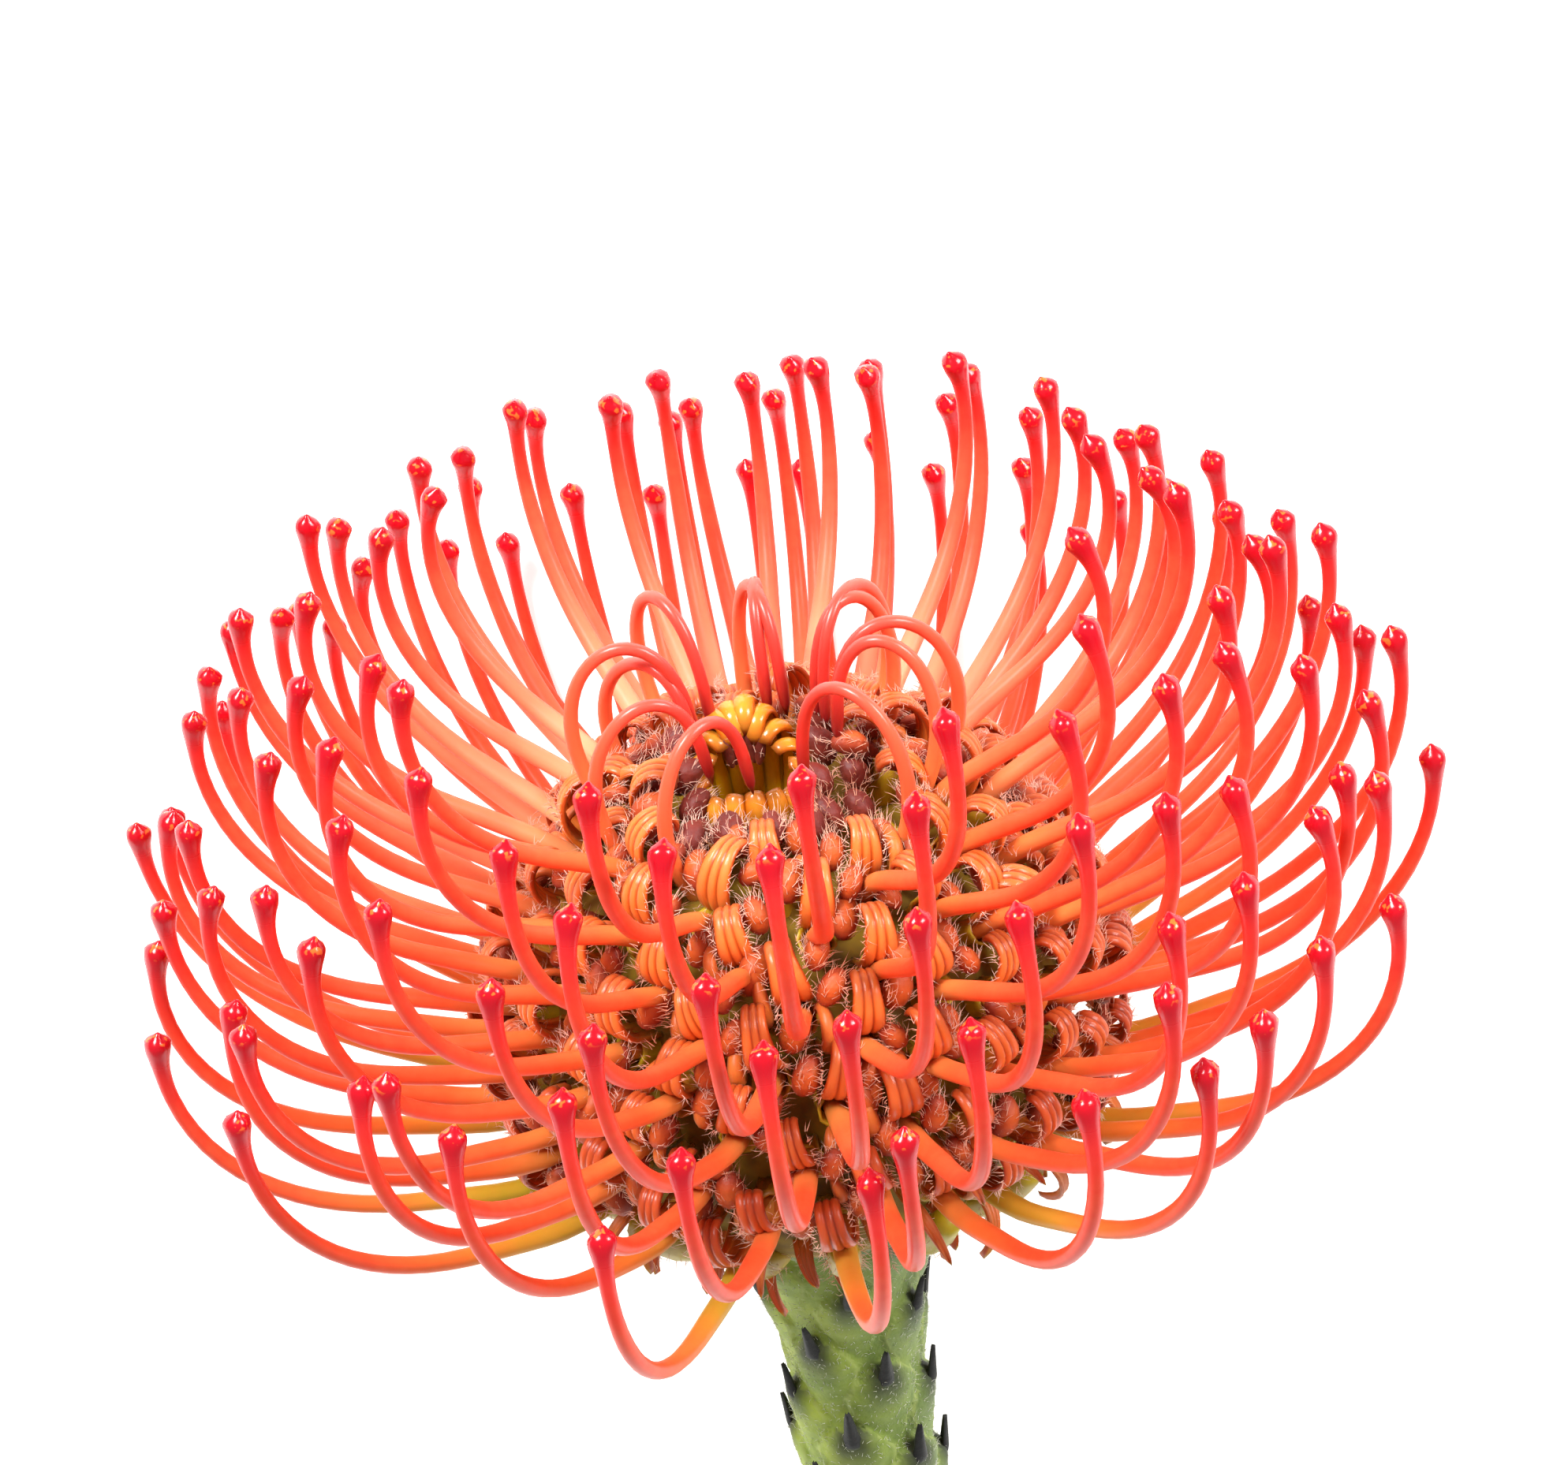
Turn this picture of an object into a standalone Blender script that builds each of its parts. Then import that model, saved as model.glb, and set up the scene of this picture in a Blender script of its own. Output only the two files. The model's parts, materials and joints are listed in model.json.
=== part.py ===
"""Pincushion protea flower: one cut flower head on its short scaly stem, lying on a flat surface.

Every piece is modelled in the flower's own frame and then laid down. There the origin is the middle
of the head, +Z runs up the flower's axis and -Y points to the side that ends up on top.
"""

import math
import random

import bmesh
import bpy
from mathutils import Matrix, Vector

MM = 0.001
UP = Vector((0, 0, 1))
GAP = 0.3 * MM  # between two nodes that touch
SHARP_FROM = math.radians(50)  # an edge that turns more than this isn't shaded smooth
TUBE_SIDES = 3  # of the styles and the tubes of the lowest florets

# How the flower lies: its axis rises towards the head, and the lowest styles bend on the surface.
LEAN = math.radians(26)
HEAD_HEIGHT = 35.4 * MM  # the middle of the head above the surface
SURFACE_GIVE = 0.5 * MM  # how softly a style bends where it meets the surface
PRESSED_HEIGHT = 0.25 * MM  # of a style's centreline where it lies on the surface
MIDDLE_ALONG = 9.0 * MM  # the middle of the head from the middle of the whole flower
MIDDLE_ACROSS = 0.2 * MM

# The head: florets spaced by the golden angle from its underside to its top.
FLORETS = 152
OPEN_FLORETS = 134
CURLED_FLORETS = 134  # the rest, round the pit, are still closed
GOLDEN_ANGLE = math.pi * (3 - math.sqrt(5))
FIRST_AZIMUTH = math.radians(150)
LOWEST_POLAR = math.radians(112)
CORE_RADIUS = 20.0 * MM
CORE_TOP = 16.5 * MM
CORE_BOTTOM = -14.5 * MM
CORE_SIDES = 12
CORE_RINGS = 5

# Open styles: out of the head, straight for a while, then bending up and over to the tip.
STYLE_SEED = 192450
STYLE_ROOT = 19.0 * MM
STYLE_LENGTH = (44.2 * MM, 32.0 * MM)  # of the lowest and of the topmost open floret
STYLE_RISE = (math.radians(18), math.radians(32))
TIP_RISE = (math.radians(102), math.radians(118))
LEAVING = 0.22  # share of the length over which a style turns from the head to its own rise
BEND_START = 0.32
BEND_POWER = 1.25
STYLE_SHAPE = (  # share of the length, radius
    (0.00, 1.05 * MM),
    (0.38, 0.90 * MM),
    (0.60, 0.80 * MM),
    (0.76, 0.74 * MM),
    (0.90, 0.68 * MM),
    (0.965, 1.20 * MM),
    (1.00, 0.0),
)

# Looped styles: their tips are still held by the closed florets round the pit.
LOOPS = 12
LOOP_FRONT_GAP = math.radians(48)
LOOP_SEED = 51
LOOP_ROOT_POLAR = (math.radians(31), math.radians(37))
LOOP_TIP_OUT = 5.4 * MM
LOOP_TIP_UP = 24.6 * MM
LOOP_RISE = (9.0 * MM, 13.0 * MM)
LOOP_RADIUS = 0.60 * MM
LOOP_STOPS = (0.0, 0.3, 0.48, 0.66, 0.84, 1.0)

# A curled perianth: a band that rises from the head and rolls back on itself.
# Its outline runs up the head and out of it, measured from where the style leaves.
BAND_WIDTH = 2.3 * MM
BAND_OUTLINE = ((1.3, -3.0), (1.6, 0.5), (2.9, 1.8), (4.8, 1.3), (5.1, -3.0))
BAND_FOOT = 22.0 * MM

# The lowest florets' tubes, which spread under the head from the collar.
LOW_TUBES = 16
LOW_TUBE_SHAPE = (  # out, up, radius
    (12.2 * MM, -13.7 * MM, 0.90 * MM),
    (15.2 * MM, -13.3 * MM, 1.15 * MM),
    (20.0 * MM, -8.2 * MM, 1.25 * MM),
)

# The closed florets: a woolly dome with a pit in its middle.
DOME_RADIUS = 6.3 * MM
DOME_SHOULDER = 19.6 * MM
DOME_TOP = 20.8 * MM
PIT_RADIUS = 3.1 * MM
PIT_FLOOR = 17.2 * MM
DOME_SIDES = 16
PODS = 9
POD_OUT = 4.8 * MM
POD_UP = 21.4 * MM
POD_SIZE = Vector((1.25, 1.25, 1.9)) * MM
POD_LEAN = math.radians(20)

# The collar of woolly bracts under the head.
COLLAR_TOP = CORE_BOTTOM - GAP
COLLAR_BOTTOM = -17.6 * MM
COLLAR_BRACTS = 12
COLLAR_TOP_RADIUS = 9.6 * MM
COLLAR_FOOT_RADIUS = 7.5 * MM

# The stem, cut square, with pointed scale bracts pressed to it in spirals.
STEM_TOP = COLLAR_BOTTOM - GAP
STEM_RADIUS = (6.9 * MM, 5.3 * MM)  # under the collar and at the cut
NARROWING = 16.0 * MM
STEM_SWAY = -0.3 * MM
STEM_SIDES = 16
STEM_PRESSED = 0.2 * MM  # flattened off the lower edge of the cut
STEM_RINGS = 9
SCALE_SPACING = 6.1 * MM
SCALE_LENGTH = 6.6 * MM
SCALE_WIDTH = 4.8 * MM
SCALE_OUT = 1.5 * MM
SCALE_SEED = 9
SCALE_MARGINS = (7.4 * MM, 2.6 * MM)  # bare length at the collar and at the cut


def clear_scene():
    for thing in list(bpy.data.objects):
        bpy.data.objects.remove(thing, do_unlink=True)


def principled(name, colour, roughness):
    material = bpy.data.materials.new(name)
    material.use_nodes = True
    shader = material.node_tree.nodes["Principled BSDF"]
    shader.inputs["Base Color"].default_value = (*colour, 1)
    shader.inputs["Roughness"].default_value = roughness
    shader.inputs["Metallic"].default_value = 0.0
    return material


def mix(pair, share):
    return pair[0] + (pair[1] - pair[0]) * share


def smooth_step(share):
    share = min(1.0, max(0.0, share))
    return share * share * (3 - 2 * share)


def outward(azimuth):
    return Vector((math.sin(azimuth), -math.cos(azimuth), 0))


def on_ball(polar, azimuth, radius):
    return (outward(azimuth) * math.sin(polar) + UP * math.cos(polar)) * radius


def floret_angles(index):
    """Polar angle from the apex and azimuth from the front of one floret."""
    share = (index + 0.5) / FLORETS
    lowest = math.cos(LOWEST_POLAR)
    return math.acos(lowest + (1 - lowest) * share), FIRST_AZIMUTH + index * GOLDEN_ANGLE


def height_above_surface(point):
    return HEAD_HEIGHT - point.y * math.cos(LEAN) + point.z * math.sin(LEAN)


def lifted(point, height):
    """The point moved straight up by a height, as seen when the flower lies down."""
    return point + Vector((0, -math.cos(LEAN), math.sin(LEAN))) * height


def kept_above_surface(point):
    """Lifts a point of a style, so that the style bends along the surface and not through it."""
    height = height_above_surface(point) - PRESSED_HEIGHT
    if height > 8 * SURFACE_GIVE:
        return point
    return lifted(point, SURFACE_GIVE * math.log1p(math.exp(height / SURFACE_GIVE)) - height)


def style_path(index, steps=50):
    """Centreline of an open style, from inside the head to its tip, as evenly spaced points."""
    age = index / (OPEN_FLORETS - 1)
    draw = random.Random(STYLE_SEED + index)
    polar, azimuth = floret_angles(index)
    rise = mix(STYLE_RISE, age) + math.radians(draw.uniform(-4, 4))
    bend = mix(TIP_RISE, age) + math.radians(draw.uniform(-9, 9)) - rise
    yaw = math.radians(draw.uniform(-15, 15))
    length = mix(STYLE_LENGTH, age) * draw.uniform(0.95, 1.05)
    square_on = math.pi / 2 - polar
    point = on_ball(polar, azimuth, STYLE_ROOT)
    points = []
    for step in range(steps + 1):
        points.append(kept_above_surface(point))
        share = (step + 0.5) / steps
        angle = square_on + (rise - square_on) * smooth_step(share / LEAVING)
        angle += bend * max(0.0, (share - BEND_START) / (1 - BEND_START)) ** BEND_POWER
        heading = outward(azimuth + yaw * share) * math.cos(angle) + UP * math.sin(angle)
        point = point + heading * (length / steps)
    return points


def loop_path(number, steps=40):
    """Centreline of a looped style, arching from the head in over the closed florets."""
    draw = random.Random(LOOP_SEED + number)
    share = number / (LOOPS - 1)
    azimuth = LOOP_FRONT_GAP + share * (2 * math.pi - 2 * LOOP_FRONT_GAP)
    azimuth += math.radians(draw.uniform(-8, 8))
    polar = mix(LOOP_ROOT_POLAR, draw.random())
    root = on_ball(polar, azimuth, STYLE_ROOT)
    leaving = on_ball(polar, azimuth, 1.0)
    tip = outward(azimuth + math.radians(draw.uniform(-25, 25))) * LOOP_TIP_OUT + UP * LOOP_TIP_UP
    rise = mix(LOOP_RISE, draw.random())
    handles = (root, root + leaving * rise * 1.35, tip + UP * rise + leaving * 2 * MM, tip)
    points = []
    for step in range(steps + 1):
        t = step / steps
        weights = ((1 - t) ** 3, 3 * t * (1 - t) ** 2, 3 * t * t * (1 - t), t**3)
        points.append(sum((h * w for h, w in zip(handles, weights)), Vector()))
    return points


def at_share(points, share):
    place = share * (len(points) - 1)
    low = min(int(place), len(points) - 2)
    return points[low].lerp(points[low + 1], place - low)


def section_places(points, radii):
    """Placing matrices of a tube's sections, square to the path and without twist."""
    side = (points[1] - points[0]).orthogonal()
    places = []
    for number, (point, radius) in enumerate(zip(points, radii)):
        along = (points[min(number + 1, len(points) - 1)] - points[max(number - 1, 0)]).normalized()
        side = (side - along * side.dot(along)).normalized()
        turn = Matrix((side, along.cross(side), along)).transposed().to_4x4()
        places.append(Matrix.Translation(point) @ turn @ Matrix.Scale(radius, 4))
    return places


def tube_mesh(name, points, radii):
    """A closed tube through the points, extruded section by section; a radius of 0 ends in a point."""
    places = section_places(points, radii)
    bm = bmesh.new()
    ring = bmesh.ops.create_circle(bm, segments=TUBE_SIDES, radius=1.0)["verts"]
    edges = list(bm.edges)
    bmesh.ops.transform(bm, matrix=places[0], verts=ring)
    for before, after in zip(places, places[1:]):
        grown = bmesh.ops.extrude_edge_only(bm, edges=edges)["geom"]
        ring = {item for item in grown if isinstance(item, bmesh.types.BMVert)}
        edges = [item for item in grown if isinstance(item, bmesh.types.BMEdge) and ring >= set(item.verts)]
        bmesh.ops.transform(bm, matrix=after @ before.inverted(), verts=list(ring))
    bmesh.ops.remove_doubles(bm, verts=bm.verts, dist=0.01 * MM)
    bmesh.ops.holes_fill(bm, edges=[edge for edge in bm.edges if edge.is_boundary])
    bmesh.ops.recalc_face_normals(bm, faces=bm.faces)
    mesh = bpy.data.meshes.new(name)
    bm.to_mesh(mesh)
    bm.free()
    return mesh


def flattened_on_surface(mesh):
    """Flattens what still reaches below the surface, so that the flower rests on small flat spots."""
    for vertex in mesh.vertices:
        height = height_above_surface(vertex.co)
        if height < 0:
            vertex.co = lifted(vertex.co, -height)


def turned_mesh(name, outline, sides):
    """A solid turned about the flower's axis from an outline of (out, up) points."""
    bm = bmesh.new()
    verts = [bm.verts.new((out, 0, up)) for out, up in outline]
    edges = [bm.edges.new(pair) for pair in zip(verts, verts[1:])]
    bmesh.ops.spin(
        bm, geom=verts + edges, cent=(0, 0, 0), axis=UP, angle=2 * math.pi, steps=sides, use_merge=True
    )
    bmesh.ops.remove_doubles(bm, verts=bm.verts, dist=0.02 * MM)
    bmesh.ops.recalc_face_normals(bm, faces=bm.faces)
    mesh = bpy.data.meshes.new(name)
    bm.to_mesh(mesh)
    bm.free()
    return mesh


def band_mesh():
    """One curled band, with X across it, Y up the head and Z out of the head."""
    bm = bmesh.new()
    verts = [bm.verts.new((-BAND_WIDTH / 2, up * MM, out * MM)) for up, out in BAND_OUTLINE]
    side = bm.faces.new(verts)
    grown = bmesh.ops.extrude_face_region(bm, geom=[side])["geom"]
    far = [item for item in grown if isinstance(item, bmesh.types.BMVert)]
    bmesh.ops.translate(bm, verts=far, vec=(BAND_WIDTH, 0, 0))
    bmesh.ops.recalc_face_normals(bm, faces=bm.faces)
    mesh = bpy.data.meshes.new("band")
    bm.to_mesh(mesh)
    bm.free()
    return mesh


def on_head(polar, azimuth, radius, roll=0.0, size=1.0):
    """Placing matrix on the head: X along it, Y up it towards the apex, Z out of it."""
    out = on_ball(polar, azimuth, 1.0)
    across = UP.cross(out).normalized()
    up = out.cross(across)
    turn = Matrix((across, up, out)).transposed().to_4x4()
    return Matrix.Translation(out * radius) @ turn @ Matrix.Rotation(roll, 4, "Z") @ Matrix.Scale(size, 4)


def add_object(name, mesh, collection, matrix=None):
    thing = bpy.data.objects.new(name, mesh)
    if matrix is not None:
        thing.matrix_world = matrix
    collection.objects.link(thing)
    return thing


def keep_outer_shell(mesh):
    """Removes the small hollows that the union sealed between crossing pieces."""
    bm = bmesh.new()
    bm.from_mesh(mesh)
    kept = {max(bm.verts, key=lambda vertex: vertex.co.length)}
    edge_of_growth = list(kept)
    while edge_of_growth:
        vertex = edge_of_growth.pop()
        near = {edge.other_vert(vertex) for edge in vertex.link_edges} - kept
        kept |= near
        edge_of_growth.extend(near)
    bmesh.ops.delete(bm, geom=[vertex for vertex in bm.verts if vertex not in kept], context="VERTS")
    bm.to_mesh(mesh)
    bm.free()


def fused(body, parts):
    """Joins everything in a collection to the body by one Boolean union, and removes the parts."""
    join = body.modifiers.new("fuse", "BOOLEAN")
    join.operation = "UNION"
    join.solver = "EXACT"
    join.operand_type = "COLLECTION"
    join.collection = parts
    bpy.context.view_layer.update()
    mesh = bpy.data.meshes.new_from_object(body.evaluated_get(bpy.context.evaluated_depsgraph_get()))
    keep_outer_shell(mesh)
    body.modifiers.clear()
    body.data = mesh
    for thing in list(parts.objects):
        bpy.data.objects.remove(thing, do_unlink=True)
    bpy.data.collections.remove(parts)
    return body


def new_collection(name):
    collection = bpy.data.collections.new(name)
    bpy.context.scene.collection.children.link(collection)
    return collection


def core_outline():
    """Half outline of the head's core: a ball, flat below and on top, where other pieces sit."""
    first = math.asin(CORE_BOTTOM / CORE_RADIUS)
    last = math.asin(CORE_TOP / CORE_RADIUS)
    outline = [(0, CORE_BOTTOM)]
    for ring in range(CORE_RINGS + 1):
        angle = first + (last - first) * ring / CORE_RINGS
        outline.append((CORE_RADIUS * math.cos(angle), CORE_RADIUS * math.sin(angle)))
    return outline + [(0, CORE_TOP)]


def build_flower_head(home, material):
    """The core with its curled perianths, the open styles and the looped styles, all one body."""
    parts = new_collection("florets")
    body = add_object("flower_head", turned_mesh("flower_head", core_outline(), CORE_SIDES), home)
    radii = [radius for _, radius in STYLE_SHAPE]
    for index in range(OPEN_FLORETS):
        path = style_path(index)
        mesh = tube_mesh("style", [at_share(path, share) for share, _ in STYLE_SHAPE], radii)
        flattened_on_surface(mesh)
        add_object(f"style_{index}", mesh, parts)
    for number in range(LOOPS):
        path = loop_path(number)
        spots = [at_share(path, share) for share in LOOP_STOPS]
        add_object(f"loop_{number}", tube_mesh("loop", spots, [LOOP_RADIUS] * len(spots)), parts)
    band = band_mesh()
    for index in range(CURLED_FLORETS):
        polar, azimuth = floret_angles(index)
        draw = random.Random(STYLE_SEED - index)
        roll = math.radians(draw.uniform(-20, 20))
        size = draw.uniform(0.9, 1.08)
        add_object(f"band_{index}", band, parts, on_head(polar, azimuth, BAND_FOOT, roll, size))
    for number in range(LOW_TUBES):
        out = outward(2 * math.pi * number / LOW_TUBES)
        spots = [out * away + UP * up for away, up, _ in LOW_TUBE_SHAPE]
        radii = [radius for _, _, radius in LOW_TUBE_SHAPE]
        add_object(f"low_tube_{number}", tube_mesh("low_tube", spots, radii), parts)
    fused(body, parts)
    body.data.materials.clear()
    body.data.materials.append(material)
    return body


def build_closed_florets(home, material):
    """The dome of closed woolly florets on top of the core, round its pit."""
    seat = CORE_TOP + GAP
    outline = [
        (0, seat),
        (DOME_RADIUS, seat),
        (DOME_RADIUS, DOME_SHOULDER - 1.6 * MM),
        (DOME_RADIUS * 0.82, DOME_SHOULDER),
        (PIT_RADIUS * 1.25, DOME_TOP),
        (PIT_RADIUS, DOME_TOP - 0.5 * MM),
        (PIT_RADIUS * 0.8, PIT_FLOOR),
        (0, PIT_FLOOR),
    ]
    body = add_object("closed_florets", turned_mesh("closed_florets", outline, DOME_SIDES), home)
    parts = new_collection("pods")
    bm = bmesh.new()
    bmesh.ops.create_icosphere(bm, subdivisions=1, radius=1.0)
    bmesh.ops.scale(bm, vec=POD_SIZE, verts=bm.verts)
    pod = bpy.data.meshes.new("pod")
    bm.to_mesh(pod)
    bm.free()
    for number in range(PODS):
        azimuth = 2 * math.pi * (number + 0.5) / PODS
        place = Matrix.Translation(outward(azimuth) * POD_OUT + UP * POD_UP)
        lean = Matrix.Rotation(azimuth, 4, "Z") @ Matrix.Rotation(POD_LEAN, 4, "X")
        add_object(f"pod_{number}", pod, parts, place @ lean)
    fused(body, parts)
    body.data.materials.clear()
    body.data.materials.append(material)
    return body


def build_collar(home, material):
    """The ring of woolly bracts between the stem and the head, its rim cut into blunt points."""
    outline = [
        (0, COLLAR_BOTTOM),
        (COLLAR_FOOT_RADIUS, COLLAR_BOTTOM),
        (COLLAR_TOP_RADIUS, COLLAR_TOP - 1.0 * MM),
        (COLLAR_TOP_RADIUS, COLLAR_TOP),
        (0, COLLAR_TOP),
    ]
    mesh = turned_mesh("bract_collar", outline, 2 * COLLAR_BRACTS)
    for vertex in mesh.vertices:
        out = math.hypot(vertex.co.x, vertex.co.y)
        if out > COLLAR_TOP_RADIUS - 0.1 * MM:
            azimuth = math.atan2(vertex.co.y, vertex.co.x)
            swell = 1 + 0.09 * math.cos(COLLAR_BRACTS * azimuth)
            vertex.co.x *= swell
            vertex.co.y *= swell
    mesh.materials.append(material)
    return add_object("bract_collar", mesh, home)


def stem_length():
    """How far the stem runs before the lower edge of its cut end meets the surface."""
    axis_height = STEM_RADIUS[1] * math.cos(LEAN) - STEM_PRESSED
    return (HEAD_HEIGHT - axis_height) / math.sin(LEAN) + STEM_TOP


def stem_radius(down):
    return mix(STEM_RADIUS, smooth_step(down / NARROWING))


def stem_middle(down):
    sway = STEM_SWAY * math.sin(math.pi * down / stem_length())
    return Vector((sway, 0, STEM_TOP - down))


def scale_mesh():
    """One pointed scale, with X across it, Y towards its tip and Z out of the stem."""
    bm = bmesh.new()
    half = SCALE_WIDTH / 2
    foot = -1.2 * MM
    base = [
        bm.verts.new((-half, 0.9 * MM, foot)),
        bm.verts.new((0, -1.2 * MM, foot)),
        bm.verts.new((half, 0.9 * MM, foot)),
        bm.verts.new((0, SCALE_LENGTH - 1.2 * MM, 0.1 * MM)),
    ]
    crest = bm.verts.new((0, SCALE_LENGTH * 0.42, SCALE_OUT))
    tip = bm.verts.new((0, SCALE_LENGTH, SCALE_OUT * 0.95))
    left, heel, right, throat = base
    for corners in (
        (left, throat, right, heel),
        (left, heel, crest),
        (heel, right, crest),
        (left, crest, tip),
        (crest, right, tip),
        (left, tip, throat),
        (throat, tip, right),
    ):
        bm.faces.new(corners)
    bmesh.ops.recalc_face_normals(bm, faces=bm.faces)
    mesh = bpy.data.meshes.new("scale")
    bm.to_mesh(mesh)
    bm.free()
    return mesh


def build_stem(home, material):
    """The cut stem with its scale bracts."""
    length = stem_length()
    sides = [(1, -length * ring / STEM_RINGS) for ring in range(STEM_RINGS + 1)]
    mesh = turned_mesh("stem", [(0, 0), *sides, (0, -length)], STEM_SIDES)
    for vertex in mesh.vertices:
        down = -vertex.co.z
        across = Vector((vertex.co.x, vertex.co.y, 0)) * stem_radius(down)
        vertex.co = stem_middle(down) + across
    flattened_on_surface(mesh)
    body = add_object("stem", mesh, home)
    parts = new_collection("scales")
    scale = scale_mesh()
    count = round((length - sum(SCALE_MARGINS)) * 2 * math.pi * STEM_RADIUS[1] / SCALE_SPACING**2)
    draw = random.Random(SCALE_SEED)
    for number in range(count):
        down = mix((SCALE_MARGINS[0], length - SCALE_MARGINS[1]), number / (count - 1))
        azimuth = number * GOLDEN_ANGLE
        out = outward(azimuth)
        turn = Matrix((UP.cross(out), UP, out)).transposed().to_4x4()
        spot = stem_middle(down) + out * (stem_radius(down) - 0.15 * MM)
        size = Matrix.Scale(draw.uniform(0.9, 1.1), 4)
        mesh = scale.copy()
        mesh.transform(Matrix.Translation(spot) @ turn @ size)
        flattened_on_surface(mesh)
        add_object(f"scale_{number}", mesh, parts)
    fused(body, parts)
    body.data.materials.clear()
    body.data.materials.append(material)
    return body


def laid_down():
    """From the flower's frame to the surface it lies on."""
    across = Vector((1, 0, 0))
    forward = Vector((0, math.sin(LEAN), -math.cos(LEAN)))
    axis = Vector((0, math.cos(LEAN), math.sin(LEAN)))
    turn = Matrix((across, forward, axis)).transposed().to_4x4()
    return Matrix.Translation((MIDDLE_ACROSS, MIDDLE_ALONG, HEAD_HEIGHT)) @ turn


def main():
    clear_scene()
    home = bpy.context.scene.collection
    coral = principled("coral_florets", (0.95, 0.17, 0.06), 0.35)
    maroon = principled("closed_florets", (0.35, 0.07, 0.05), 0.7)
    woolly = principled("woolly_bracts", (0.33, 0.42, 0.16), 0.85)
    green = principled("stem_green", (0.28, 0.42, 0.10), 0.6)
    pieces = (
        build_flower_head(home, coral),
        build_closed_florets(home, maroon),
        build_collar(home, woolly),
        build_stem(home, green),
    )
    for piece in pieces:
        piece.data.transform(laid_down())
        piece.data.shade_smooth()
        piece.data.set_sharp_from_angle(angle=SHARP_FROM)


main()
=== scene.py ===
"""Pincushion protea flower: the fine model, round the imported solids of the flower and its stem."""

import json
from math import acos, asin, atan2, copysign, cos, exp, hypot, log1p, pi, radians, sin, sqrt
from random import Random

import bmesh
import bpy
from mathutils import Matrix, Vector

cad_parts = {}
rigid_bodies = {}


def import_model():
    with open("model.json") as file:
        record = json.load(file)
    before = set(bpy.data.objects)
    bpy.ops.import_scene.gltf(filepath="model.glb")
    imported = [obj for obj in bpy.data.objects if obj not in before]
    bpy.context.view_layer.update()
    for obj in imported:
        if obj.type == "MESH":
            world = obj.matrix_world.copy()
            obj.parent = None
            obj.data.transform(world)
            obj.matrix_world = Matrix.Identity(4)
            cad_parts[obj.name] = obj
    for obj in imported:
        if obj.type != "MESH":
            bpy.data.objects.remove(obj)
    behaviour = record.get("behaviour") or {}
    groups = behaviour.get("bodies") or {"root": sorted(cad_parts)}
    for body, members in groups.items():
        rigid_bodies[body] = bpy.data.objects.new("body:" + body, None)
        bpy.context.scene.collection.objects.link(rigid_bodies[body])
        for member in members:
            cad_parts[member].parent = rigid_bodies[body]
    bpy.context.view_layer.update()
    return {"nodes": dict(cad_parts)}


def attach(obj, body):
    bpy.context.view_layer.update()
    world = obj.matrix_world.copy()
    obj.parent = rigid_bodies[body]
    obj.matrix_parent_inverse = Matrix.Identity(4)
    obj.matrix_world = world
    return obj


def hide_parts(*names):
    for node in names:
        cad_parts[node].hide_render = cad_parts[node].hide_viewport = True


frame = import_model()


# How the flower lies. It is one cut head on its own stem, laid on its side on a table, so its axis
# rises towards the head and the lowest styles bend where they meet the table. Every piece is made in
# the flower's own frame: origin in the middle of the head, +Z up the axis, -Y on top when it lies.
MM = 0.001
UP = Vector((0, 0, 1))
LEAN = radians(26)
COLLAR_TOP = -14.8 * MM
SURFACE_GIVE = 0.5 * MM
PRESSED_HEIGHT = 0.25 * MM
LOWEST_POINT = 0.02 * MM  # of the fine pieces above the surface
across = Vector((1, 0, 0))
forward = Vector((0, sin(LEAN), -cos(LEAN)))
axis = Vector((0, cos(LEAN), sin(LEAN)))
collar_points = [vertex.co for vertex in frame["nodes"]["bract_collar"].data.vertices]


def middle_of_collar(direction):
    """How far along a direction the middle of the collar lies."""
    reaches = [direction.dot(point) for point in collar_points]
    return (min(reaches) + max(reaches)) / 2


head_middle = (
    across * middle_of_collar(across)
    + forward * middle_of_collar(forward)
    + axis * (max(axis.dot(point) for point in collar_points) - COLLAR_TOP)
)


def turned_to(x, y, z):
    """A turn that brings X, Y and Z to three directions square to each other."""
    return Matrix((x, y, z)).transposed().to_4x4()


laid = Matrix.Translation(head_middle) @ turned_to(across, forward, axis)
scene = bpy.context.scene
shown = scene.collection.objects


def height_above_surface(point):
    return head_middle.z - point.y * cos(LEAN) + point.z * sin(LEAN)


def lifted(point, height):
    """The point moved straight up from the table by a height."""
    return point + Vector((0, -cos(LEAN), sin(LEAN))) * height


def finished(bm, name="shape"):
    """The mesh of a bmesh, which is then let go."""
    mesh = bpy.data.meshes.new(name)
    bm.to_mesh(mesh)
    bm.free()
    return mesh


def add_piece(name, meshes, finish, slot, *nodes):
    """Joins meshes and hands them to the frame as one piece, laid down with the flower."""
    bm = bmesh.new()
    for mesh in meshes:
        bm.from_mesh(mesh)
        bpy.data.meshes.remove(mesh)
    mesh = finished(bm, name)
    for vertex in mesh.vertices:
        height = height_above_surface(vertex.co)
        if height < LOWEST_POINT:
            vertex.co = lifted(vertex.co, LOWEST_POINT - height)
    mesh.transform(laid)
    mesh.materials.append(finish.material)
    mesh.shade_smooth()
    piece = bpy.data.objects.new(name, mesh)
    shown.link(piece)
    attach(piece, "root")
    if nodes:
        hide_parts(*nodes)


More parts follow.
